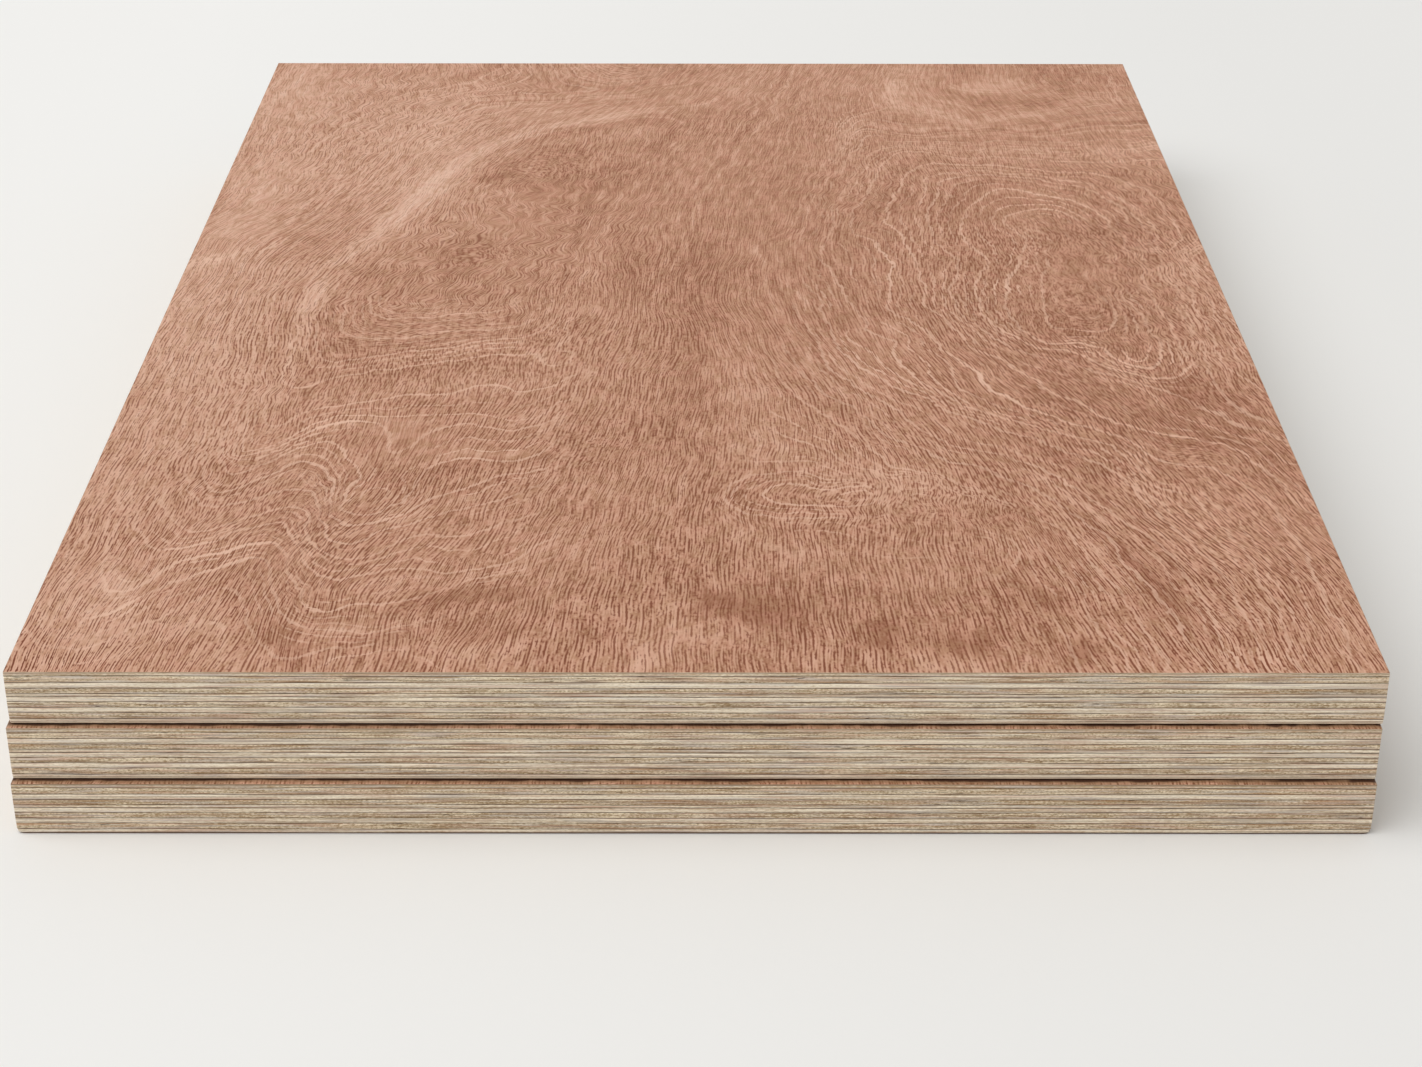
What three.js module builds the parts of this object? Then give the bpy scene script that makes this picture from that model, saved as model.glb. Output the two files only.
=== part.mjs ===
// A stack of three equal plywood panels, each glued up from twelve wood veneers.
// Lengths are in millimetres. +X runs along the front edge, +Y to the back and +Z up.
// The origin is the middle of the stack's footprint, on the surface that it lies on.
import * as THREE from 'three';

// Panel, as sawn to size
const panelWidth = 420;
const panelLength = 594;

// Veneer thicknesses, from the upper face down
const faceThickness = 0.35;
const ply1Thickness = 0.85;
const ply2Thickness = 2.2;
const ply3Thickness = 1.8;
const ply4Thickness = 1.85;
const ply5Thickness = 1.05;
const ply6Thickness = 1.6;
const ply7Thickness = 1.95;
const ply8Thickness = 1.75;
const ply9Thickness = 2.1;
const ply10Thickness = 1.05;
const backThickness = 0.35;

// Cured glue film between two veneers, and air between two panels that lie on each other
const glueLine = 0.1;
const panelGap = 0.4;

// How far the lower panels stick out past the top one
const middleForward = 2.5;
const middleLeft = 0.7;
const bottomForward = 5.2;
const bottomLeft = 0.8;

// Radius of the upright corners: crisp as sawn, and knocked round at the foot of each panel
const sawnCorner = 0.3;
const wornCornerTop = 1.0;
const wornCornerMiddle = 1.0;
const wornCornerBottom = 2.4;

// Share of the worn corner that each veneer shows
const noWear = 0;
const slightWear = 0.15;
const partWear = 0.6;
const fullWear = 1;
const cornerSegments = 3;

// Grain 'along' runs front to back, grain 'across' runs side to side
const layup = [
  { name: 'face_veneer', thickness: faceThickness, grain: 'face', wear: noWear },
  { name: 'core_ply_1', thickness: ply1Thickness, grain: 'across', wear: noWear },
  { name: 'core_ply_2', thickness: ply2Thickness, grain: 'along', wear: noWear },
  { name: 'core_ply_3', thickness: ply3Thickness, grain: 'across', wear: noWear },
  { name: 'core_ply_4', thickness: ply4Thickness, grain: 'along', wear: noWear },
  { name: 'core_ply_5', thickness: ply5Thickness, grain: 'across', wear: noWear },
  { name: 'core_ply_6', thickness: ply6Thickness, grain: 'across', wear: noWear },
  { name: 'core_ply_7', thickness: ply7Thickness, grain: 'along', wear: noWear },
  { name: 'core_ply_8', thickness: ply8Thickness, grain: 'across', wear: noWear },
  { name: 'core_ply_9', thickness: ply9Thickness, grain: 'along', wear: slightWear },
  { name: 'core_ply_10', thickness: ply10Thickness, grain: 'across', wear: partWear },
  { name: 'back_veneer', thickness: backThickness, grain: 'face', wear: fullWear },
];

// Panels from the top of the stack down
const panels = [
  { name: 'top_sheet', forward: 0, left: 0, wornCorner: wornCornerTop },
  { name: 'middle_sheet', forward: middleForward, left: middleLeft, wornCorner: wornCornerMiddle },
  { name: 'bottom_sheet', forward: bottomForward, left: bottomLeft, wornCorner: wornCornerBottom },
];

const finishes = {
  face: { color: 0xb98c73, roughness: 0.6, metalness: 0 },
  across: { color: 0xc9bba0, roughness: 0.7, metalness: 0 },
  along: { color: 0xae9f86, roughness: 0.75, metalness: 0 },
};

// One veneer: a flat rectangle with rounded upright corners, its underside at z = 0
function veneerGeometry(thickness, cornerRadius) {
  const right = panelWidth / 2;
  const back = panelLength / 2;
  const quarterTurn = Math.PI / 2;
  const outline = new THREE.Shape();
  outline.absarc(right - cornerRadius, back - cornerRadius, cornerRadius, 0, quarterTurn);
  outline.absarc(cornerRadius - right, back - cornerRadius, cornerRadius, quarterTurn, 2 * quarterTurn);
  outline.absarc(cornerRadius - right, cornerRadius - back, cornerRadius, 2 * quarterTurn, 3 * quarterTurn);
  outline.absarc(right - cornerRadius, cornerRadius - back, cornerRadius, 3 * quarterTurn, 4 * quarterTurn);
  outline.closePath();
  return new THREE.ExtrudeGeometry(outline, {
    depth: thickness,
    bevelEnabled: false,
    curveSegments: cornerSegments,
  });
}

// One panel: its veneers laid from the underside up with a glue film between each pair
function buildPanel({ name, wornCorner }) {
  const panel = new THREE.Group();
  panel.name = name;
  let level = 0;
  for (const veneer of [...layup].reverse()) {
    const cornerRadius = sawnCorner + (wornCorner - sawnCorner) * veneer.wear;
    const material = new THREE.MeshStandardMaterial(finishes[veneer.grain]);
    const mesh = new THREE.Mesh(veneerGeometry(veneer.thickness, cornerRadius), material);
    mesh.name = `${name}_${veneer.name}`;
    mesh.position.z = level;
    panel.add(mesh);
    level += veneer.thickness + glueLine;
  }
  return panel;
}

// The stack: panels a thickness and a gap apart, centred on the footprint of all three
function buildStack() {
  const stack = new THREE.Group();
  const veneerTotal = layup.reduce((sum, veneer) => sum + veneer.thickness, 0);
  const panelThickness = veneerTotal + glueLine * (layup.length - 1);
  const lefts = panels.map((panel) => panel.left);
  const forwards = panels.map((panel) => panel.forward);
  const centreX = (Math.max(...lefts) + Math.min(...lefts)) / 2;
  const centreY = (Math.max(...forwards) + Math.min(...forwards)) / 2;
  panels.forEach((panelSpec, fromTop) => {
    const panel = buildPanel(panelSpec);
    const fromBottom = panels.length - 1 - fromTop;
    panel.position.set(
      centreX - panelSpec.left,
      centreY - panelSpec.forward,
      fromBottom * (panelThickness + panelGap),
    );
    stack.add(panel);
  });
  return stack;
}

export default buildStack();
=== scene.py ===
import math

import bpy
import numpy as np
from mathutils import Matrix, Vector


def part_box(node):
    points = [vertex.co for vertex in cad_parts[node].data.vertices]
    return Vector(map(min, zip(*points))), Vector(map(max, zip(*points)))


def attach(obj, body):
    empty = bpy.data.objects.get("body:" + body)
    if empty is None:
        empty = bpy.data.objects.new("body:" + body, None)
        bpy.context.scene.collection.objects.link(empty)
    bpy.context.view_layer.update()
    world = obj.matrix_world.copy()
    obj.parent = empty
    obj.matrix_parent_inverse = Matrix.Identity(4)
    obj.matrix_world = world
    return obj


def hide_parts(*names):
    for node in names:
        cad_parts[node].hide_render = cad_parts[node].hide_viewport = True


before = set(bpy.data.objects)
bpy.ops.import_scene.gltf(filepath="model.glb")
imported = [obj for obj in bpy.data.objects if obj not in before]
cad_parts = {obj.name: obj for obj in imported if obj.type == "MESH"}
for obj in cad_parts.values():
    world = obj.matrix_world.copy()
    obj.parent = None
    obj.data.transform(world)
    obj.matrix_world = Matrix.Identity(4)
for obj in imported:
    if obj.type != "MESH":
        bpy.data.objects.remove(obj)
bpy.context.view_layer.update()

MM = 0.001

# ---------------------------------------------------------------- the panels and their layup
SHEETS = ("top_sheet", "middle_sheet", "bottom_sheet")

# The veneers from the upper face down: name, which way the fibres run, how pale (above 0) or
# grey (below 0) the sawn edge is, and how much brown heartwood is in it (0 to 1)
LAYUP = (
    ("face_veneer", "face", 0.0, 0.0),
    ("core_ply_1", "across", -0.8, 0.15),
    ("core_ply_2", "along", 0.1, 0.6),
    ("core_ply_3", "across", 0.8, 0.05),
    ("core_ply_4", "along", -0.5, 0.5),
    ("core_ply_5", "across", 0.3, 0.4),
    ("core_ply_6", "across", 0.6, 0.1),
    ("core_ply_7", "along", -0.3, 0.2),
    ("core_ply_8", "across", 0.75, 0.1),
    ("core_ply_9", "along", -0.2, 0.65),
    ("core_ply_10", "across", 0.95, 0.1),
    ("back_veneer", "face", 1.0, 0.0),
)
# How clearly each glue line shows, from the upper face down; the first and last are free faces
GLUE_SHOWN = (0.0, 0.15, 0.9, 0.9, 0.9, 0.9, 1.0, 0.9, 0.9, 0.9, 0.9, 0.15, 0.0)
# How much duller each panel's edges are than the top one's: darker the lower the panel lies
LOWER_PANELS_DARKER = {"top_sheet": 0.0, "middle_sheet": 0.15, "bottom_sheet": 0.6}

# Corner rounding of each veneer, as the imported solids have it
SAWN_CORNER = 0.3 * MM
WORN_CORNER = {"top_sheet": 1.0 * MM, "middle_sheet": 1.0 * MM, "bottom_sheet": 2.4 * MM}
CORNER_WEAR = {"core_ply_9": 0.15, "core_ply_10": 0.6, "back_veneer": 1.0}

FACE_ARRIS = 0.16 * MM      # rounding of a panel's upper edge
BACK_ARRIS = 0.07 * MM      # of its lower edge
FOOT_ARRIS = 0.14 * MM      # of the lower edge that stands on the floor
CORE_ARRIS = 0.03 * MM      # and of the plies, at each glue line
GLUE_GAP = 0.004 * MM       # hair line left between two veneers
GLUE_WAVE = 0.11 * MM       # how far a glue line wanders up and down
EDGE_RELIEF = 0.05 * MM     # how far softer plies stand back on the sawn edge

# Degrees of its quarter turn at which an arris has a row of points
ARRIS_TURNS = {
    CORE_ARRIS: (0, 90),
    BACK_ARRIS: (0, 45, 90),
    FACE_ARRIS: (0, 30, 60, 90),
    FOOT_ARRIS: (0, 30, 60, 90),
}

# The sines that glue lines and the relief are summed from: lengths in metres, and heights as
# shares of GLUE_WAVE and of EDGE_RELIEF. Each length is stretched a little at random.
GLUE_WAVE_LENGTHS = (0.19, 0.083, 0.031, 0.0137)
GLUE_WAVE_SHARES = (0.45, 0.3, 0.2, 0.12)
GLUE_WAVE_FADE = 20 * MM
RELIEF_LENGTHS = (0.11, 0.037, 0.0121)
RELIEF_SHARES = (0.5, 0.3, 0.2)
WAVE_STRETCH = (0.8, 1.25)

# Distances from a corner at which the outline is sampled closely, and where even steps begin
CORNER_STEPS = np.array([0.0, 0.12, 0.3, 0.6, 1.0, 1.6, 2.6, 4.0]) * MM
CORNER_ZONE = 6.0 * MM

# Outline cells across and along a panel, and how many of them one cell of a cap spans
FINE_CELLS = (200, 280)
PLAIN_CELLS = (168, 240)
FIGURE_SPAN = 1
UNDERSIDE_SPAN = 4
HIDDEN_SPAN = {FINE_CELLS: 20, PLAIN_CELLS: 24}
MOST_CAP_INSET = 2.0 * MM   # how far a cap's grid lies inside the outline, at most

# The map on which finishes are baked: the wall's share of its height, the number of strips that
# the wall is cut into, and where the second cap begins
FIGURED_MAP = (0.10, 4, 0.88)
PLAIN_MAP = (0.84, 12, 0.5)
MAP_MARGIN = 0.005
CAP_MARGIN = 0.01
STRIP_MARGIN = 0.1
STRIP_LEFT = 0.01
STRIP_WIDTH = 0.95


def side_steps(length, cells):
    """Positions along one side: close together near both ends, evenly spaced between."""
    middle = np.linspace(CORNER_ZONE, length - CORNER_ZONE, cells + 1 - 2 * len(CORNER_STEPS))
    return np.concatenate([CORNER_STEPS, middle, length - CORNER_STEPS[::-1]])


def rectangle_ring(across, along):
    """The closed ring of points round a rectangle, from the positions along its two sides.
    It runs counter-clockwise from the front left corner, each corner once."""
    left, right = across[0], across[-1]
    front, back = along[0], along[-1]
    x = np.concatenate([across[:-1], np.full(len(along) - 1, right),
                        across[:0:-1], np.full(len(along) - 1, left)])
    y = np.concatenate([np.full(len(across) - 1, front), along[:-1],
                        np.full(len(across) - 1, back), along[:0:-1]])
    return np.stack([x, y], 1)


def round_corners(ring, low, high, radius):
    """The ring with its corners rounded, and its outward normals. In the radius-wide square at
    each corner a point at (u, v) from the arc's centre moves to (u, v) max(u, v) / |(u, v)|."""
    middle = (low + high) / 2
    half = (high - low) / 2
    sign = np.where(ring < middle, -1.0, 1.0)
    inside = np.abs(ring - middle) - (half - radius)
    in_corner = (inside > 0).all(1)
    least_reach = 1e-12
    reach = np.maximum(np.hypot(inside[:, 0], inside[:, 1]), least_reach)
    scale = inside.max(1) / reach
    rounded = middle + sign * (half - radius + inside * scale[:, None])
    on_x_side = inside[:, 0] >= inside[:, 1]
    flat_normal = np.stack([np.where(on_x_side, sign[:, 0], 0.0),
                            np.where(on_x_side, 0.0, sign[:, 1])], 1)
    corner_normal = sign * inside / reach[:, None]
    points = np.where(in_corner[:, None], rounded, ring)
    normals = np.where(in_corner[:, None], corner_normal, flat_normal)
    return points, normals


def waves(position, seed, lengths, heights):
    """A gentle random line: the sum of sines of about the given lengths and heights, with
    phases drawn from the seed."""
    rng = np.random.default_rng(seed)
    total = np.zeros_like(position)
    for length, height in zip(lengths, heights):
        phase = rng.uniform(0, 2 * math.pi)
        stretch = rng.uniform(*WAVE_STRETCH)
        total += height * np.sin(2 * math.pi * position / (length * stretch) + phase)
    return total


def glue_wave(position, seed, perimeter):
    """How far a glue line lies above its level at each place round the edge. It fades to
    nothing where the ring closes, so that both ends meet."""
    fade = np.minimum(1, np.minimum(position, perimeter - position) / GLUE_WAVE_FADE)
    line = waves(position, seed, GLUE_WAVE_LENGTHS, GLUE_WAVE_SHARES)
    return GLUE_WAVE * fade * line


def border_faces(fine, coarse, span):
    """Triangles between a cap's fine outer ring and its coarse grid. Each fine edge joins the
    nearest coarse point, and each coarse edge joins the fine point at its middle."""
    i = np.arange(len(fine))
    near = ((i + 0.5) / span + 0.5).astype(int) % len(coarse)
    after = np.roll(near, -1)
    next_fine = np.roll(fine, -1)
    fans = np.stack([fine, next_fine, coarse[near]], 1)
    steps = near != after
    joins = np.stack([next_fine[steps], coarse[after[steps]], coarse[near[steps]]], 1)
    return np.concatenate([fans, joins])


def grid_faces(n_x, n_y, start):
    """Quads of an n_x by n_y grid of points whose numbers begin at start, row after row."""
    i, j = np.meshgrid(np.arange(n_x - 1), np.arange(n_y - 1), indexing="ij")
    corner = (start + j * n_x + i).ravel()
    return np.stack([corner, corner + 1, corner + n_x + 1, corner + n_x], 1)


def grid_ring(n_x, n_y, start):
    """The numbers of the grid's outer points, counter-clockwise from its first corner."""
    front = np.arange(n_x - 1)
    right = (n_x - 1) + np.arange(n_y - 1) * n_x
    back = (n_y - 1) * n_x + np.arange(n_x - 1, 0, -1)
    left = np.arange(n_y - 1, 0, -1) * n_x
    return start + np.concatenate([front, right, back, left])


# Material numbers of a veneer's faces
FIGURED, HIDDEN, FRONT_AND_BACK, LEFT_AND_RIGHT = range(4)


class Veneer:
    """One veneer as a closed mesh: an upper and a lower cap, each a grid inside a ring, and a
    side wall of rows that follow the outline from the upper ring down to the lower one."""

    def __init__(self, low, high, radius, cells, spans, upper, lower, seed):
        """low and high are the veneer's corners, cells the outline's cells across and along and
        spans those that one cell of the upper and the lower cap takes. upper and lower say how
        the two boundaries behave: (level, arris, seed of the glue line's wave or None)."""
        low, high = np.array(low[:2]), np.array(high[:2])
        across = low[0] + side_steps(high[0] - low[0], cells[0])
        along = low[1] + side_steps(high[1] - low[1], cells[1])
        ring = rectangle_ring(across, along)
        outline, normal = round_corners(ring, low, high, radius)
        step = np.hypot(*(np.roll(ring, -1, 0) - ring).T)
        self.position = np.concatenate([[0], np.cumsum(step)[:-1]])
        self.perimeter = step.sum()
        self.n_ring = len(ring)
        self.build_wall(outline, normal, upper, lower, seed)
        self.build_caps(across, along, spans, (upper[0], lower[0]))

    def build_wall(self, outline, normal, upper, lower, seed):
        """The side wall's points, row after row. A row lies at bottom + share (top - bottom)
        - drop, and is set in from the outline by the arris and the relief."""
        relief_line = waves(self.position, seed, RELIEF_LENGTHS, RELIEF_SHARES)
        relief = EDGE_RELIEF * (0.5 + 0.5 * np.clip(relief_line, -1, 1))
        top, bottom = self.boundary(*upper), self.boundary(*lower)
        rows = self.profile(upper[1], lower[1])
        self.n_rows = len(rows)
        points = []
        for share, drop, inset in rows:
            z = bottom + (top - bottom) * share - drop
            xy = outline - normal * (inset + relief)[:, None]
            points.append(np.column_stack([xy, z]))
        self.points = np.concatenate(points)
        self.height = self.points[:, 2] - np.tile(bottom, self.n_rows)
        self.depth = np.tile(top, self.n_rows) - self.points[:, 2]
        i = np.arange(self.n_ring)
        after = np.roll(i, -1)
        starts = self.n_ring * np.arange(self.n_rows)
        self.walls = np.concatenate([
            np.stack([above + i, below + i, below + after, above + after], 1)
            for above, below in zip(starts[:-1], starts[1:])])

    def boundary(self, level, arris, seed):
        """A boundary's height round the ring: its level, plus its glue line's wave."""
        if seed is None:
            return np.full(self.n_ring, level)
        return level + glue_wave(self.position, seed, self.perimeter)

    @staticmethod
    def profile(upper_arris, lower_arris):
        """Rows of the side wall as (share of the height, drop, inset). An arris is a quarter
        turn: drop = a (1 - cos t) and inset = a (1 - sin t), and the lower one mirrors it."""
        rows = []
        for t in np.radians(ARRIS_TURNS[upper_arris]):
            rows.append((1.0, upper_arris * (1 - math.cos(t)), upper_arris * (1 - math.sin(t))))
        for t in np.radians(ARRIS_TURNS[lower_arris]):
            rows.append((0.0, lower_arris * (math.sin(t) - 1), lower_arris * (1 - math.cos(t))))
        return rows

    def build_caps(self, across, along, spans, levels):
        """The upper and the lower cap: a flat grid a little inside the outline and a border."""
        n = self.n_ring
        rings = (np.arange(n), (self.n_rows - 1) * n + np.arange(n))
        self.cap_quads, self.cap_borders = [], []
        for span, level, ring, turn in zip(spans, levels, rings, (1, -1)):
            x, y = self.drawn_in(across[::span]), self.drawn_in(along[::span])
            grid_x, grid_y = np.meshgrid(x, y)
            start = len(self.points)
            flat = np.column_stack([grid_x.ravel(), grid_y.ravel(), np.full(grid_x.size, level)])
            self.points = np.concatenate([self.points, flat])
            edge = grid_ring(len(x), len(y), start)
            self.cap_quads.append(grid_faces(len(x), len(y), start)[:, ::turn])
            self.cap_borders.append(border_faces(ring, edge, span)[:, ::turn])

    @staticmethod
    def drawn_in(lines):
        """Grid lines drawn in from the outline by a third of a cell, at most 2 mm."""
        middle = (lines[0] + lines[-1]) / 2
        half = (lines[-1] - lines[0]) / 2
        cell = 2 * half / len(lines)
        inset = min(MOST_CAP_INSET, cell / 3)
        return middle + (lines - middle) * (half - inset) / half

    def to_mesh(self, name, caps):
        """The mesh. caps gives the upper and the lower cap's material numbers."""
        quads = np.concatenate([self.walls, *self.cap_quads])
        tris = np.concatenate(self.cap_borders)
        sizes = np.concatenate([np.full(len(quads), 4), np.full(len(tris), 3)])
        corners = np.concatenate([quads.ravel(), tris.ravel()])
        mesh = bpy.data.meshes.new(name)
        mesh.vertices.add(len(self.points))
        mesh.vertices.foreach_set("co", self.points.astype(np.float32).ravel())
        mesh.loops.add(len(corners))
        mesh.loops.foreach_set("vertex_index", corners.astype(np.int32))
        mesh.polygons.add(len(sizes))
        starts = np.concatenate([[0], np.cumsum(sizes)[:-1]])
        mesh.polygons.foreach_set("loop_start", starts.astype(np.int32))
        kinds = np.concatenate([
            self.wall_kinds(),
            *[np.full(len(f), kind) for f, kind in zip(self.cap_quads + self.cap_borders, caps * 2)]])
        mesh.polygons.foreach_set("material_index", kinds.astype(np.int32))
        mesh.update()
        self.add_bake_map(mesh, corners, sizes, kinds)
        return mesh

    def wall_kinds(self):
        """Which way each wall quad looks: its edge runs across on the front and the back."""
        run = self.points[self.walls[:, 2]] - self.points[self.walls[:, 1]]
        along = np.abs(run[:, 1]) > np.abs(run[:, 0])
        return np.where(along, LEFT_AND_RIGHT, FRONT_AND_BACK)

    def add_values(self, mesh, glue_above, glue_below):
        """What the edge materials read: the distance from the ply's two glue lines, in metres,
        and how clearly they show, which runs up the wall from one to the other."""
        share = self.height / (self.height + self.depth)
        caps = np.zeros(len(self.points) - len(self.height))
        for name, values in (("height_in_ply", self.height), ("depth_in_ply", self.depth),
                             ("glue_shown", glue_below + share * (glue_above - glue_below))):
            add_value(mesh, name, np.concatenate([values, caps]))

    def add_bake_map(self, mesh, corners, sizes, kinds):
        """Where each face lies when its finish is baked: the wall unrolled into rows, as tall
        as they can be, and the two caps beside each other. A figured cap gets most of the map."""
        figured = (kinds == FIGURED).any()
        wall_share, n_strips, split = FIGURED_MAP if figured else PLAIN_MAP
        face = np.repeat(np.arange(len(sizes)), sizes)
        x, y = self.points[corners, 0], self.points[corners, 1]
        low, high = self.points.min(0), self.points.max(0)
        s, t = (x - low[0]) / (high[0] - low[0]), (y - low[1]) / (high[1] - low[1])

        wall_corners = self.walls.size
        column = self.walls % self.n_ring
        first = column[:, 0]
        way = self.position[column]
        way = np.where(column < first[:, None], self.perimeter, way)
        strip_length = self.perimeter / n_strips
        strip = np.floor(self.position[first] / strip_length)
        share = self.height / (self.height + self.depth)
        strip_height = 1 - 2 * STRIP_MARGIN
        wall_s = STRIP_LEFT + STRIP_WIDTH * (way / strip_length - strip[:, None])
        wall_t = strip[:, None] + STRIP_MARGIN + strip_height * share[self.walls]
        wall_t *= wall_share / n_strips

        parts = (self.walls, *self.cap_quads, *self.cap_borders)
        is_upper = np.repeat([False, True, False, True, False], [len(part) for part in parts])
        is_first = (kinds == FIGURED if figured else is_upper)[face]
        left = np.where(is_first, MAP_MARGIN, split + MAP_MARGIN)
        right = np.where(is_first, split - MAP_MARGIN, 1 - MAP_MARGIN)
        s = left + s * (right - left)
        t = wall_share + CAP_MARGIN + t * (1 - 2 * CAP_MARGIN - wall_share)
        s[:wall_corners], t[:wall_corners] = wall_s.ravel(), wall_t.ravel()
        layer = mesh.uv_layers.new(name="OFBake")
        layer.uv.foreach_set("vector", np.column_stack([s, t]).astype(np.float32).ravel())


def add_value(mesh, name, values):
    """A number for every point of the mesh, which the materials read by this name."""
    attribute = mesh.attributes.new(name, "FLOAT", "POINT")
    full = np.broadcast_to(np.asarray(values, np.float32), len(mesh.vertices))
    attribute.data.foreach_set("value", np.ascontiguousarray(full))


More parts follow.
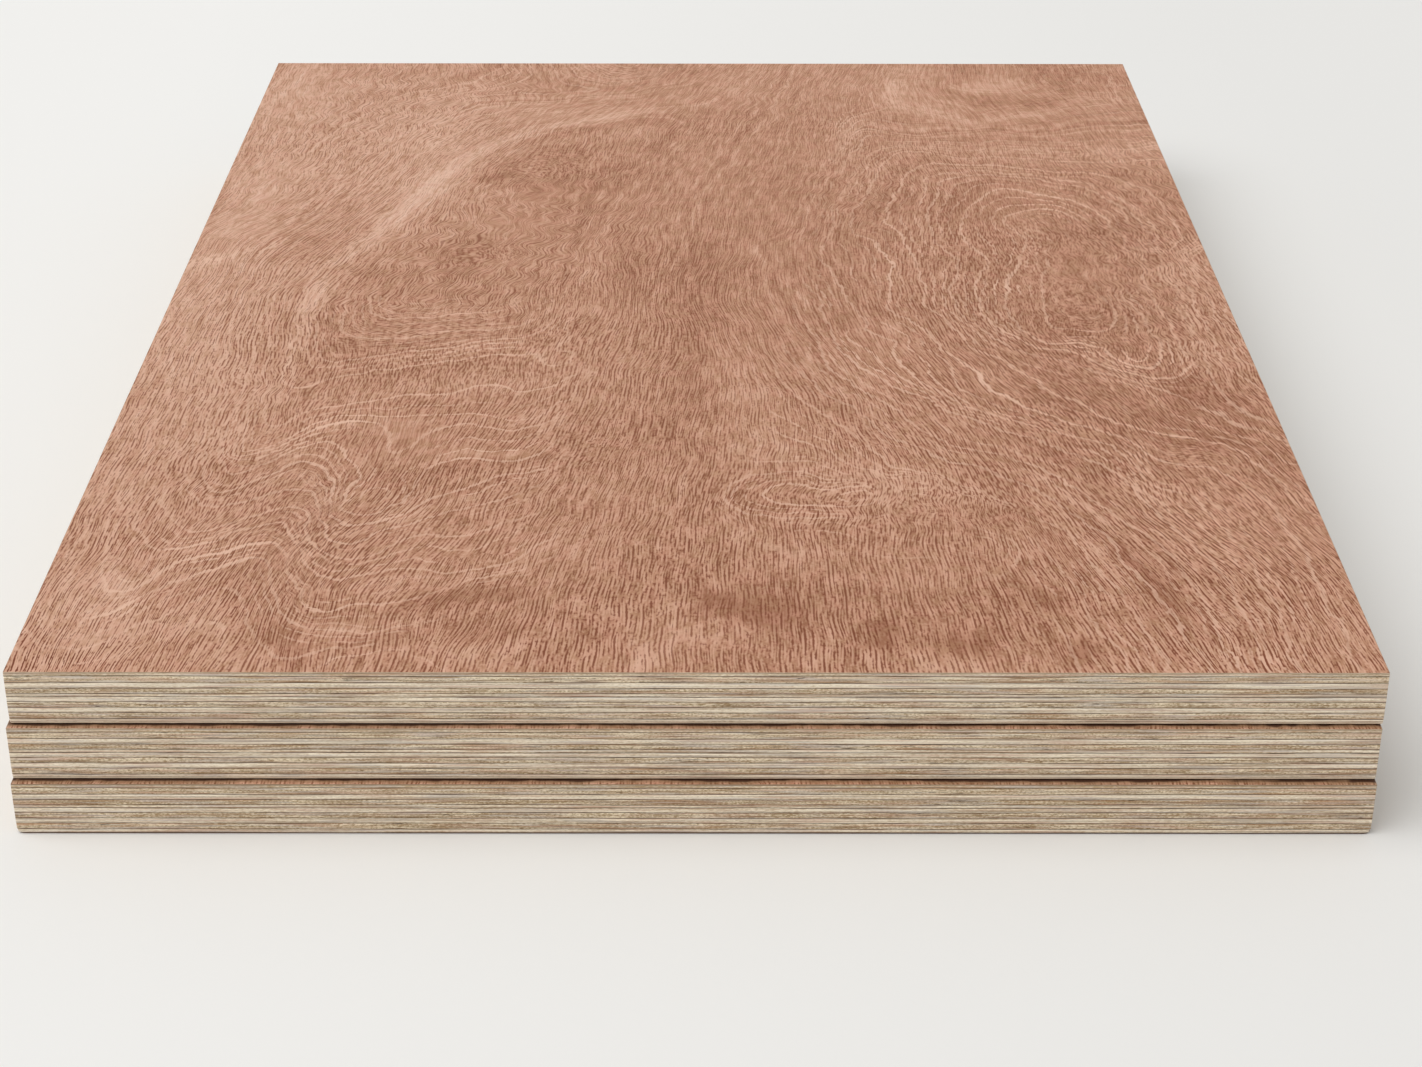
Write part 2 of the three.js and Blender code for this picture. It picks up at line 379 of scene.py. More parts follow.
# ---------------------------------------------------------------- the figure of the top face
# Places on the panel in millimetres: x from its centre line, y back from its front edge.
# Growth lines, each with its growth layer's number and the points that it passes through.
GROWTH_LINES = (
    # waves at the front left, from the front edge back
    (1.0, ((-187, 15), (-176, 27), (-168, 32), (-159, 48), (-153, 53), (-147, 49), (-139, 29),
           (-131, 10), (-124, 8), (-115, 15), (-103, 15), (-92, 19), (-73, 11), (-63, 16), (-54, 21),
           (-30, 34), (-12, 50))),
    (2.0, ((-203, 60), (-199, 45), (-188, 33), (-180, 42), (-168, 57), (-157, 67), (-147, 73),
           (-140, 70), (-136, 55), (-128, 32), (-120, 27), (-111, 26), (-101, 23), (-85, 32),
           (-62, 44), (-38, 60), (-18, 85), (-6, 130), (-2, 180))),
    (3.0, ((-198, 200), (-197, 120), (-194, 80), (-192, 63), (-188, 53), (-181, 51), (-176, 57),
           (-167, 69), (-159, 74), (-149, 82), (-140, 84), (-135, 70), (-130, 57), (-124, 42),
           (-117, 37), (-109, 41), (-98, 43), (-86, 49), (-73, 57), (-52, 70), (-39, 78), (-29, 91),
           (-17, 130), (-10, 190), (-6, 250))),
    (4.0, ((-193, 200), (-190, 120), (-184, 90), (-176, 79), (-162, 84), (-155, 91), (-145, 97),
           (-138, 99), (-132, 84), (-126, 66), (-118, 58), (-107, 62), (-90, 66), (-77, 63),
           (-65, 70), (-52, 84), (-42, 91), (-30, 118), (-20, 170), (-13, 230))),
    (5.0, ((-187, 200), (-184, 130), (-176, 100), (-165, 92), (-147, 105), (-140, 109), (-134, 107),
           (-128, 86), (-120, 76), (-112, 73), (-103, 80), (-92, 88), (-72, 92), (-56, 105),
           (-42, 128), (-30, 165), (-22, 215), (-17, 270))),
    (6.0, ((-181, 200), (-178, 140), (-170, 112), (-158, 112), (-145, 122), (-137, 124), (-131, 121),
           (-128, 105), (-122, 90), (-115, 84), (-106, 90), (-97, 97), (-90, 104), (-78, 108),
           (-62, 121), (-46, 138), (-34, 172), (-26, 220))),
    (7.0, ((-175, 200), (-172, 150), (-166, 120), (-155, 128), (-147, 136), (-140, 143), (-134, 143),
           (-128, 137), (-126, 122), (-124, 105), (-117, 95), (-108, 97), (-101, 105), (-95, 113),
           (-88, 118), (-77, 126), (-63, 135), (-50, 144), (-40, 165), (-32, 200), (-24, 260))),
    (8.0, ((-169, 200), (-168, 150), (-163, 134), (-153, 142), (-143, 153), (-134, 161), (-128, 160),
           (-123, 152), (-119, 141), (-118, 132), (-121, 124), (-121, 112), (-115, 104), (-107, 106),
           (-101, 114), (-97, 126), (-95, 138), (-90, 145), (-80, 149), (-69, 145), (-57, 151),
           (-49, 165), (-42, 184), (-36, 215), (-30, 262))),
    (9.0, ((-164, 200), (-164, 150), (-157, 149), (-149, 155), (-137, 171), (-126, 177), (-118, 178),
           (-113, 170), (-110, 155), (-106, 150), (-101, 158), (-95, 169), (-84, 176), (-74, 172),
           (-60, 172), (-52, 180), (-45, 200), (-39, 230), (-35, 258))),
    (10.0, ((-160, 210), (-157, 180), (-146, 183), (-132, 192), (-120, 194), (-107, 201), (-96, 200),
            (-84, 206), (-73, 209), (-60, 205), (-48, 215), (-41, 226), (-40, 260), (-36, 300))),
    (11.0, ((-157, 300), (-156, 250), (-154, 212), (-140, 214), (-119, 222), (-103, 229), (-88, 232),
            (-77, 237), (-61, 236), (-54, 243), (-50, 262), (-45, 300), (-36, 350), (-20, 420),
            (-4, 480), (6, 540))),
    (12.0, ((-148, 330), (-149, 290), (-148, 250), (-138, 231), (-122, 236), (-103, 242), (-86, 248),
            (-75, 252), (-61, 260), (-54, 275), (-50, 310), (-46, 360), (-37, 430))),
    (13.0, ((-138, 350), (-141, 290), (-136, 256), (-118, 252), (-96, 259), (-80, 261), (-66, 268),
            (-59, 290), (-57, 330), (-54, 380), (-50, 430), (-42, 480))),
    (14.0, ((-129, 350), (-131, 295), (-124, 272), (-103, 275), (-85, 278), (-74, 284), (-67, 310),
            (-64, 360))),
    (15.0, ((-118, 345), (-119, 303), (-112, 287), (-98, 291), (-86, 294), (-76, 312), (-73, 350))),
    # the long arc that crosses the back left, and the layers on each side of it
    (10.5, ((-159, 320), (-150, 345), (-141, 375), (-132, 400), (-123, 430), (-112, 460), (-99, 483),
            (-82, 500), (-58, 514), (-36, 525), (-14, 532), (2, 540), (16, 560), (24, 594))),
    (12.5, ((-140, 345), (-127, 380), (-113, 420), (-99, 452), (-84, 475), (-64, 492), (-40, 504),
            (-20, 510))),
    (8.0, ((-175, 330), (-163, 370), (-152, 410), (-140, 450), (-124, 490), (-103, 515), (-75, 526),
           (-46, 537), (-20, 548), (-3, 562), (4, 594))),
    (6.0, ((-190, 340), (-176, 390), (-164, 440), (-148, 480), (-127, 515), (-112, 540), (-96, 547),
           (-73, 547), (-50, 553), (-22, 566), (-12, 594))),
    (4.0, ((-203, 330), (-192, 400), (-181, 450), (-168, 495), (-150, 530), (-141, 550), (-126, 553),
           (-117, 566), (-112, 562), (-104, 580), (-98, 594))),
    (7.5, ((-62, 594), (-56, 575), (-42, 566), (-26, 572), (-20, 594))),
    (9.5, ((-47, 594), (-40, 584), (-31, 583), (-27, 594))),
    (3.0, ((-205, 400), (-198, 450), (-190, 500), (-178, 540), (-168, 570), (-163, 594))),
    # the fan on the right of the middle, and the loops that it wraps
    (3.0, ((4, 250), (6, 190), (10, 150), (4, 125), (6, 100), (16, 88), (40, 78), (70, 74), (100, 60),
           (112, 30), (118, 2))),
    (4.0, ((9, 300), (11, 230), (22, 180), (40, 158), (57, 140), (81, 116), (94, 106), (108, 92),
           (118, 66), (124, 35), (130, 4))),
    (5.0, ((13, 283), (18, 264), (27, 235), (33, 212), (37, 196), (50, 177), (58, 161), (66, 150),
           (77, 137), (90, 126), (102, 114), (113, 103), (124, 92), (130, 66), (136, 40), (144, 8))),
    (6.0, ((22, 330), (24, 290), (34, 240), (46, 206), (60, 182), (72, 160), (81, 152), (90, 145),
           (100, 139), (113, 127), (126, 108), (136, 84), (146, 50), (155, 10))),
    (7.0, ((29, 350), (33, 307), (41, 273), (46, 243), (50, 224), (60, 205), (70, 192), (76, 178),
           (83, 166), (94, 156), (106, 151), (121, 137), (130, 122), (142, 101), (154, 78), (160, 45),
           (164, 8))),
    (8.0, ((36, 340), (43, 304), (48, 283), (51, 254), (58, 229), (69, 212), (84, 198), (95, 184),
           (108, 172), (125, 158), (140, 145), (148, 128), (153, 110), (162, 88), (168, 66), (173, 40),
           (172, 14))),
    (9.0, ((50, 340), (57, 305), (62, 284), (67, 258), (75, 248), (77, 231), (83, 212), (98, 192),
           (113, 179), (130, 168), (146, 156), (152, 140), (158, 128), (168, 118), (177, 90), (182, 50),
           (182, 10))),
    (10.0, ((66, 364), (72, 357), (77, 340), (78, 325), (77, 305), (76, 285), (81, 273), (87, 261),
            (92, 246), (100, 231), (104, 218), (110, 203), (124, 185), (140, 173), (152, 164),
            (160, 146), (168, 143), (179, 141), (188, 128), (196, 100), (200, 60), (201, 20))),
    (11.0, ((80, 375), (86, 357), (88, 338), (89, 324), (90, 304), (88, 285), (96, 273), (102, 250),
            (113, 235), (121, 223), (128, 208), (138, 196), (152, 178), (166, 168), (178, 163),
            (188, 156), (198, 138), (206, 110))),
    (12.0, ((97, 372), (100, 350), (106, 334), (104, 313), (101, 296), (103, 281), (109, 264),
            (117, 248), (128, 237), (140, 229), (147, 224), (155, 218), (163, 212), (170, 207),
            (180, 193), (194, 178), (207, 164))),
    (13.0, ((112, 376), (109, 363), (114, 349), (119, 328), (112, 309), (111, 288), (114, 270),
            (122, 254), (134, 243), (148, 235), (158, 224), (168, 217), (179, 218), (186, 233),
            (185, 250), (183, 273), (180, 300), (181, 330), (178, 359), (174, 372), (170, 390),
            (162, 402), (150, 409), (136, 417), (126, 411), (117, 397))),
    (14.0, ((132, 383), (132, 370), (136, 357), (135, 340), (129, 330), (126, 317), (124, 304),
            (122, 288), (122, 273), (127, 258), (134, 248), (147, 247), (155, 243), (161, 229),
            (168, 225), (174, 229), (177, 243), (175, 262), (173, 281), (169, 300), (167, 319),
            (168, 345), (164, 370), (155, 388), (144, 393), (137, 390))),
    (15.0, ((143, 375), (146, 350), (142, 325), (137, 300), (136, 275), (146, 262), (160, 262),
            (164, 285), (158, 310), (158, 345), (152, 370))),
    (12.0, ((191, 233), (191, 262), (189, 285), (192, 300), (188, 318), (191, 345), (188, 375),
            (180, 400), (168, 418), (150, 428), (130, 434), (117, 434), (107, 428), (104, 408))),
    (10.0, ((205, 240), (204, 270), (203, 300), (198, 312), (199, 328), (196, 340), (188, 348))),
    # the back right: shallow bowls below a long tongue
    (9.5, ((207, 466), (193, 462), (178, 459), (160, 459), (132, 464), (117, 462), (102, 469),
           (90, 469), (80, 455), (72, 430), (66, 405))),
    (8.0, ((208, 486), (180, 480), (160, 479), (140, 478), (117, 479), (102, 478), (88, 478),
           (81, 486), (75, 478), (66, 455), (60, 430), (50, 395))),
    (6.5, ((207, 514), (190, 510), (174, 506), (163, 500), (147, 496), (132, 499), (116, 497),
           (100, 495), (84, 498), (74, 503), (69, 490), (63, 470), (54, 440))),
    (5.0, ((207, 534), (190, 531), (176, 528), (166, 520), (157, 517), (144, 512), (130, 503),
           (124, 506), (113, 514), (102, 525), (91, 533), (88, 545), (93, 553), (99, 563), (102, 582),
           (103, 594))),
    (3.0, ((207, 552), (194, 548), (185, 550), (178, 570), (172, 555), (161, 546), (147, 538),
           (136, 537), (126, 542), (116, 548), (112, 562), (114, 594))),
    (1.5, ((168, 594), (164, 570), (153, 560), (140, 557), (129, 561), (127, 594))),
    (4.0, ((76, 594), (72, 560), (64, 520), (52, 480), (40, 440), (28, 400), (20, 360))),
    (5.5, ((58, 594), (52, 550), (42, 500), (28, 455), (14, 420), (4, 380), (0, 330))),
    (7.5, ((40, 594), (34, 560), (24, 520), (12, 480), (2, 440), (-10, 390), (-16, 330))),
    # the small tongue in front of the fan
    (2.0, ((56, 104), (38, 101), (24, 103), (13, 108), (9, 116), (10, 127), (18, 134), (33, 136),
           (46, 133), (60, 129), (74, 124), (86, 114), (98, 105))),
    (1.2, ((60, 112), (44, 108), (28, 110), (18, 117), (22, 126), (34, 129), (48, 126), (62, 121))),
    (2.4, ((-8, 20), (30, 25), (60, 40), (85, 35), (100, 10))),
    (2.2, ((60, 95), (86, 92), (98, 82))),
)

# How the grain leans: x, y, lean to the right in degrees
LEANS = (
    (-205, 20, 2), (-205, 100, 0), (-203, 180, 0), (-200, 260, 2), (-192, 300, 5), (-205, 340, -2),
    (-200, 420, 0), (-190, 480, -3), (-185, 540, -5), (-200, 580, 2), (-170, 15, 6), (-150, 20, 12),
    (-172, 60, 9), (-150, 50, 11), (-185, 110, 3), (-165, 110, 8), (-150, 100, 18), (-130, 30, 2),
    (-120, 12, 0), (-112, 112, 20), (-100, 80, 22), (-85, 55, 20), (-95, 20, 2), (-70, 18, 12),
    (-62, 58, 10), (-50, 95, 14), (-40, 138, 15), (-55, 170, 20), (-80, 162, 18), (-100, 135, 8),
    (-105, 165, 4), (-25, 120, 8), (-20, 165, 10), (-10, 60, 2), (-30, 15, 0), (0, 20, 0),
    (-8, 200, 9), (-15, 235, 20), (-28, 265, 14), (-40, 300, -4), (-75, 230, 5), (-110, 240, 0),
    (-140, 200, 5), (-165, 180, 0), (-160, 240, -6), (-148, 270, -7), (-142, 305, 14),
    (-135, 345, 15), (-118, 375, 12), (-150, 400, 20), (-178, 365, 38), (-160, 385, 25),
    (-68, 325, 28), (-60, 352, 20), (-52, 382, 22), (-30, 358, 5), (-36, 330, -10), (-88, 380, -12),
    (-95, 345, 15), (-8, 330, 17), (-12, 300, 14), (0, 280, -8), (-25, 420, 10), (-60, 440, 6),
    (-50, 480, 5), (-100, 470, 25), (-130, 440, 10), (-120, 500, 13), (-108, 520, 20),
    (-95, 555, -15), (-150, 520, 5), (-140, 480, 5), (-60, 520, 30), (-20, 560, 12), (10, 570, 20),
    (10, 100, 0), (10, 160, -1), (30, 40, 0), (60, 40, -1), (30, 70, 0), (60, 75, 1), (60, 102, 8),
    (25, 125, 12), (45, 150, 0), (55, 185, -2), (75, 172, -20), (85, 120, 0), (85, 80, 0),
    (90, 30, -3), (105, 140, -18), (118, 158, -15), (135, 110, -22), (150, 85, -28),
    (130, 68, -18), (118, 30, -9), (145, 30, -16), (165, 50, -20), (178, 85, -25), (160, 130, -12),
    (190, 168, -14), (200, 192, -12), (200, 110, -12), (200, 40, -6), (185, 15, -4), (12, 250, -6),
    (26, 270, -14), (32, 222, -14), (50, 240, -19), (76, 212, -22), (80, 262, -12), (60, 300, -8),
    (60, 340, -5), (100, 330, 0), (110, 240, -20), (140, 215, -25), (140, 280, 0), (170, 232, 0),
    (190, 215, -6), (130, 335, 0), (165, 330, 0), (192, 272, -9), (180, 368, -15), (200, 340, -10),
    (8, 390, 8), (22, 370, 8), (38, 368, 9), (20, 440, 13), (50, 430, 14), (45, 500, 14),
    (70, 575, 15), (90, 440, -14), (80, 505, -8), (110, 400, 0), (150, 400, 0), (190, 440, -15),
    (100, 540, -10), (130, 580, 5), (170, 540, -20), (200, 560, 0), (150, 470, 0), (30, 560, 15),
)

# Soft ovals on the face: x, y, half length, half width, turn of the long side from +Y to the
# right in degrees, strength.
# Where vessels are short and fine
FINE_PLACES = (
    (62, 118, 66, 24, 98, 1.0), (-150, 132, 60, 30, 12, 0.8), (-124, 85, 34, 14, -18, 0.8),
    (-97, 240, 56, 44, 95, 1.0), (150, 280, 150, 62, 0, 0.9), (120, 500, 110, 100, 90, 0.6),
    (-110, 500, 120, 120, 0, 0.5), (180, 90, 50, 24, -20, 0.6), (-60, 60, 20, 12, 80, 0.3),
)
# Where the grain runs every way
CURLY_PLACES = (
    (-88, 345, 40, 32, 60, 1.0), (-60, 395, 40, 44, 90, 0.7), (-150, 520, 60, 44, 0, 0.6),
    (-60, 560, 50, 24, 80, 0.6), (30, 545, 34, 26, 0, 0.5), (-110, 285, 40, 14, 90, 0.7),
    (-185, 400, 50, 18, 0, 0.5), (70, 410, 30, 30, 0, 0.5), (170, 300, 70, 34, 0, 0.5),
    (62, 112, 50, 18, 98, 0.2), (-150, 210, 26, 16, 0, 0.4), (190, 430, 40, 30, 0, 0.6),
)
# Where the vessels follow the growth layers
RINGED_PLACES = (
    (36, 124, 28, 14, 95, 0.3), (86, 104, 26, 10, 100, 0.4), (-108, 262, 34, 22, 90, 0.9),
    (-132, 62, 36, 7, -18, 0.5), (-128, 120, 26, 10, 0, 0.7), (-90, 340, 16, 12, 80, 0.8),
    (-70, 445, 22, 18, 70, 0.7), (172, 152, 14, 14, 90, 0.7), (150, 290, 40, 26, 0, 0.5),
    (-40, 585, 20, 14, 90, 0.8), (20, 535, 20, 14, 0, 0.6), (-150, 150, 20, 10, 0, 0.6),
)
# Where growth lines stand out
STRONG_PLACES = (
    (-165, 68, 32, 6, 57, 0.6), (-183, 38, 9, 5, 50, 0.5), (-157, 67, 13, 4, 60, 0.3),
    (-168, 80, 9, 4, 70, 0.3), (-110, 42, 15, 5, 85, 0.35), (-135, 125, 30, 26, 0, 0.2),
    (-108, 99, 20, 5, 80, 0.3), (-112, 88, 12, 4, 80, 0.2), (-92, 201, 64, 12, 78, 0.05),
    (-84, 234, 36, 8, 82, 0.05), (-74, 250, 26, 9, 75, 0.2), (-46, 225, 30, 10, 30, 0.1),
    (-130, 175, 14, 6, 65, 0.4), (-136, 152, 18, 20, 0, 0.15), (-70, 150, 30, 8, 85, 0.2),
    (-78, 122, 26, 6, 60, 0.25), (-58, 76, 22, 10, 70, 0.2), (-192, 338, 24, 6, 52, 0.9),
    (80, 320, 40, 5, 0, 0.3), (126, 312, 16, 6, 15, 0.35), (150, 400, 30, 10, 120, 0.35),
    (170, 228, 14, 8, 90, 0.35), (126, 190, 60, 12, -48, 0.25), (138, 248, 24, 8, -60, 0.3),
    (106, 222, 20, 6, -20, 0.2), (66, 230, 24, 8, -20, 0.25), (70, 490, 26, 8, 0, 0.3),
    (10, 120, 14, 6, 0, 0.2), (165, 15, 20, 6, -20, 0.2), (-120, 480, 60, 12, 25, 0.2),
    (26, 118, 22, 18, 90, 0.18),
)
# Where growth lines fade away
LINELESS_PLACES = (
    (-12, 190, 150, 24, 5, 1.0), (10, 450, 180, 34, 8, 0.9), (-88, 350, 52, 52, 0, 0.9),
    (90, 106, 26, 12, 98, 0.3), (-196, 360, 230, 10, 0, 0.4), (-60, 440, 60, 50, 0, 0.6),
    (40, 40, 60, 34, 90, 0.6), (160, 340, 50, 16, 0, 0.3), (140, 545, 46, 60, 90, 0.3),
    (-70, 15, 30, 8, 90, 0.3), (-60, 40, 24, 12, 90, 0.3),
)
# Where hardly any vessels show
SMOOTH_PLACES = (
    (-50, 545, 40, 50, 0, 0.6), (145, 530, 60, 60, 0, 0.65), (-104, 168, 14, 8, -30, 0.6),
    (-186, 53, 12, 5, -42, 0.3), (-185, 22, 12, 5, 65, 0.4), (-110, 26, 7, 4, 100, 0.5),
    (-75, 375, 16, 18, 0, 0.5), (-60, 410, 14, 24, 0, 0.6), (-190, 400, 60, 16, 0, 0.4),
    (150, 400, 30, 40, 0, 0.4), (155, 330, 24, 14, 0, 0.4), (-190, 560, 60, 16, 0, 0.4),
    (-76, 150, 24, 4, 90, 0.5), (30, 440, 50, 40, 0, 0.3), (45, 310, 110, 30, 0, 0.4),
    (-20, 400, 60, 24, 0, 0.15),
)
# Paler places (above 0) and darker ones, some of them painted sheen
TONE_AND_SHEEN_PATCHES = (
    (-155, 245, 60, 4.5, 0, 0.95), (-152, 305, 30, 6, 5, 0.8), (-139, 352, 28, 6, 20, 1.05),
    (-124, 398, 28, 6, 18, 1.15), (-111, 440, 26, 6, 24, 1.1), (-90, 478, 22, 7.5, 42, 1.0),
    (-58, 505, 24, 6, 66, 1.0), (-20, 524, 26, 6, 74, 0.8),
    (-108, 168, 14, 5, -35, 0.5), (-112, 118, 9, 7, 0, 0.4), (-72, 177, 14, 7, 80, 0.35),
    (-91, 147, 8, 3, 35, 0.7), (-76, 152, 9, 3, 95, 0.7), (-61, 156, 10, 3, 40, 0.7),
    (-54, 172, 10, 3, 20, 0.6), (-129, 175, 9, 3, 68, 0.8), (-186, 54, 12, 4, -42, 0.6),
    (-108, 26, 6, 3, 100, 0.9), (-60, 14, 16, 5, 68, 0.7), (-155, 35, 12, 6, 10, 0.45),
    (-182, 22, 12, 5, 65, 0.5), (-152, 8, 14, 8, 70, 0.3), (-168, 80, 9, 3, 70, 0.5),
    (152, 122, 14, 5, -20, 0.6), (135, 112, 22, 4, -24, 0.4),
    (17, 40, 17, 8, 110, -1.5), (58, 24, 8, 5, 0, -1.0), (83, 17, 11, 7, 80, -1.0),
    (-14, 22, 22, 12, 0, 0.35), (38, 16, 16, 8, 0, 0.35),
    (110, 48, 10, 5, 0, -0.7), (118, 13, 8, 6, 0, -0.9), (-72, 47, 20, 6, 82, -0.9),
    (-62, 23, 14, 5, 80, -0.5), (-98, 20, 12, 5, 90, -0.45), (-125, 14, 18, 5, -20, -0.7),
    (24, 120, 18, 14, 90, -0.45), (148, 52, 30, 7, -14, -0.6), (200, 150, 55, 8, -38, -0.55),
    (198, 185, 22, 7, 0, -0.6), (180, 205, 14, 8, 0, -0.6),
    (-90, 431, 10, 4, 55, -1.3), (-106, 342, 10, 4, 0, -0.6), (-43, 316, 9, 5, -10, 0.8),
    (93, 552, 22, 5, 8, 0.8), (114, 516, 18, 4.5, -46, 0.95), (148, 513, 20, 4.5, 72, 0.85),
    (142, 560, 22, 9, 70, 0.6), (126, 545, 22, 6, -50, -0.75), (150, 533, 22, 6, 84, -0.75),
    (165, 580, 20, 8, 0, -0.6), (128, 582, 18, 9, 20, -0.55), (178, 560, 20, 5, 20, -0.5),
    (150, 468, 50, 8, 92, 0.35), (195, 470, 20, 10, 80, 0.35), (100, 590, 14, 7, 10, 0.6),
    (-190, 405, 14, 7, 0, 0.55), (-192, 553, 12, 7, 0, 0.4), (-148, 513, 12, 6, 50, 0.45),
    (-165, 460, 26, 6, 20, 0.3), (-60, 560, 40, 14, 70, -0.25), (-20, 585, 26, 16, 60, -0.2),
    (0, 300, 70, 11, 2, -0.45), (-28, 322, 40, 7, 5, -0.4), (-6, 190, 50, 14, 4, -0.3),
    (20, 200, 50, 8, -8, 0.3), (90, 395, 26, 14, 80, -0.4), (-60, 440, 50, 28, 20, -0.25),
    (165, 90, 40, 14, -10, 0.3), (128, 84, 44, 3.5, -21, 0.7), (141, 72, 46, 3, -20, -0.6),
    (114, 100, 36, 3, -19, -0.4), (155, 56, 34, 2.5, -18, 0.5), (121, 132, 30, 3, -24, 0.45),
    (134, 130, 30, 3, -25, -0.4), (70, 190, 40, 4, -24, 0.35), (84, 180, 30, 3, -26, -0.35),
    (-150, 580, 30, 16, 30, 0.2),
    # painted sheen: the long pale ovals near x = -190 along the left edge, and the broad one at (0, 600)
    # at the back
    (-130, 270, 40, 14, 0, -0.15), (20, 560, 30, 8, 24, 0.35), (-205, 300, 340, 22, 0, 0.45),
    (-190, 130, 150, 24, 0, 0.2), (-185, 470, 160, 34, 0, 0.4), (145, 220, 200, 55, 0, -0.4),
    (0, 600, 90, 260, 0, 0.3), (-192, 390, 220, 24, 0, 0.35), (-122, 460, 100, 36, 0, 0.95),
    (-188, 260, 60, 20, 0, 0.4), (-110, 130, 44, 36, 0, -0.15), (50, 40, 26, 40, 0, -0.3),
    (50, 300, 80, 30, 0, -0.12),
    (-190, 25, 36, 24, 0, 0.55), (50, 140, 40, 36, 0, 0.2), (135, 545, 40, 50, 0, 0.2),
    (-30, 240, 36, 26, 0, 0.15),
)
FIGURED_FACE = {
    "fine": FINE_PLACES, "curly": CURLY_PLACES, "ringed": RINGED_PLACES, "strong": STRONG_PLACES,
    "lineless": LINELESS_PLACES, "smooth": SMOOTH_PLACES, "tone": TONE_AND_SHEEN_PATCHES,
}
PLAIN_FACE = dict.fromkeys(FIGURED_FACE, ())
PLAIN_LEANS = ((0, 300, 0),)

FIGURE_SEED = 11
GRAIN_ROUNDS = 9            # rounds in which places across the grain are fitted to its lean

# How far the lean of the grain wanders, and in what size of hills
LEAN_WANDER = math.radians(4)
LEAN_HILLS = 12
# How far curly grain is pushed to and fro across itself, in millimetres
CURL = 1.7
CURL_HILLS = 8
# How dark vessels are at the front edge, how much paler with each millimetre to the back, and
# how much darker by the front corners, which reach from the first distance to the second
VESSEL_DARKNESS = 0.97
PALER_TO_THE_BACK = 0.00065
DARKER_CORNERS = 0.18
CORNERS_START = 110
CORNERS_WIDTH = 50
CORNERS_DEPTH = 250
# How pale a place may be before its vessels pale too, and how pale they get at most
PALE_LIMIT = 2.2
PALEST_VESSEL = 0.6
# How well growth lines show where they neither stand out nor fade away
LINES_SHOWN = 0.56

# The grid of places, in millimetres on the panel, at which a face's figure is worked out
FIELD_STEP = 2.0
FIELD_X = np.arange(-214, 214.1, FIELD_STEP)
FIELD_Y = np.arange(-4, 598.1, FIELD_STEP)
GRID_X, GRID_Y = np.meshgrid(FIELD_X, FIELD_Y)


def along_curve(points, spacing):
    """Places every so often along a smooth curve through the points: on each span the cubic
    whose slope at a point is half the way from the point before to the point after."""
    p = np.array(points, float)
    before = np.vstack([2 * p[0] - p[1], p[:-1]])
    after = np.vstack([p[1:], 2 * p[-1] - p[-2]])
    slope = (after - before) / 2
    found = [p[-1:]]
    for a, b, m, n in zip(p[:-1], p[1:], slope[:-1], slope[1:]):
        count = max(1, int(math.dist(a, b) / spacing))
        t = np.arange(count)[:, None] / count
        found.append((2 * t**3 - 3 * t**2 + 1) * a + (t**3 - 2 * t**2 + t) * m
                     + (3 * t**2 - 2 * t**3) * b + (t**3 - t**2) * n)
    return np.vstack(found)


def spline_through(places, values):
    """The smoothest surface through the values at the places, on the whole grid: a sum of
    r^2 log r about each place plus a plane, solved as one linear system."""
    least_square, softness, places_at_once = 1e-9, 4.0, 4000

    def kernel(a, b):
        square = ((a[:, None] - b[None]) ** 2).sum(2) + least_square
        return 0.5 * square * np.log(square)

    n = len(places)
    plane = np.column_stack([np.ones(n), places])
    system = np.block([[kernel(places, places) + softness * np.eye(n), plane],
                       [plane.T, np.zeros((3, 3))]])
    weights = np.linalg.solve(system, np.concatenate([values, np.zeros(3)]))
    wanted = np.column_stack([GRID_X.ravel(), GRID_Y.ravel()])
    found = [kernel(part, places) @ weights[:n] + weights[n] + part @ weights[n + 1:]
             for part in np.array_split(wanted, len(wanted) // places_at_once)]
    return np.concatenate(found).reshape(GRID_X.shape)


def ripple(seed, size, stretch=1.0):
    """Smooth random hills about size millimetres across, stretch times as long, and about 1
    high, on the grid: the sum of forty plane waves in all directions."""
    rng = np.random.default_rng(seed)
    count, shortest, longest = 40, 1.2, 3.2
    total = np.zeros_like(GRID_X)
    for _ in range(count):
        direction = rng.uniform(0, 2 * math.pi)
        number = 2 * math.pi / (size * rng.uniform(shortest, longest))
        phase = rng.uniform(0, 2 * math.pi)
        total += np.sin(number * (GRID_X * math.cos(direction)
                                  + GRID_Y / stretch * math.sin(direction)) + phase)
    return total * math.sqrt(2 / count)


def softened(field, times):
    """The field with every place averaged with its neighbours, several times over."""
    for _ in range(times):
        padded = np.pad(field, 1, mode="edge")
        rows = (padded[:-2] + 2 * padded[1:-1] + padded[2:]) / 4
        field = (rows[:, :-2] + 2 * rows[:, 1:-1] + rows[:, 2:]) / 4
    return field


def growth_from_lines():
    """Growth layer numbers on the top face: the surface through its growth lines, and small
    waves that push a line a little to and fro, less where the layers are wide."""
    spacing, steepest = 9, 0.2
    ragged, bent = 0.5, 0.8
    curves = [(level, along_curve(line, spacing)) for level, line in GROWTH_LINES]
    places = np.concatenate([curve for _, curve in curves])
    values = np.concatenate([np.full(len(curve), level) for level, curve in curves])
    growth = spline_through(places, values)
    slope_y, slope_x = np.gradient(growth, FIELD_STEP)
    push = ragged * ripple(7, 4) + bent * ripple(8, 14)
    return growth + np.clip(np.hypot(slope_x, slope_y), 0, steepest) * push


def growth_of_plain_face(seed):
    """Growth layer numbers of a calmer face: upright layers that bend slowly and are a little
    ragged. The bends are in layers."""
    layer_width = 13
    broad, narrow, ragged = 1.6, 0.35, 0.09
    bend = broad * ripple(seed, 60, 3.5) + narrow * ripple(seed + 1, 25, 3.0)
    return GRID_X / layer_width + bend + ragged * ripple(seed + 2, 4)


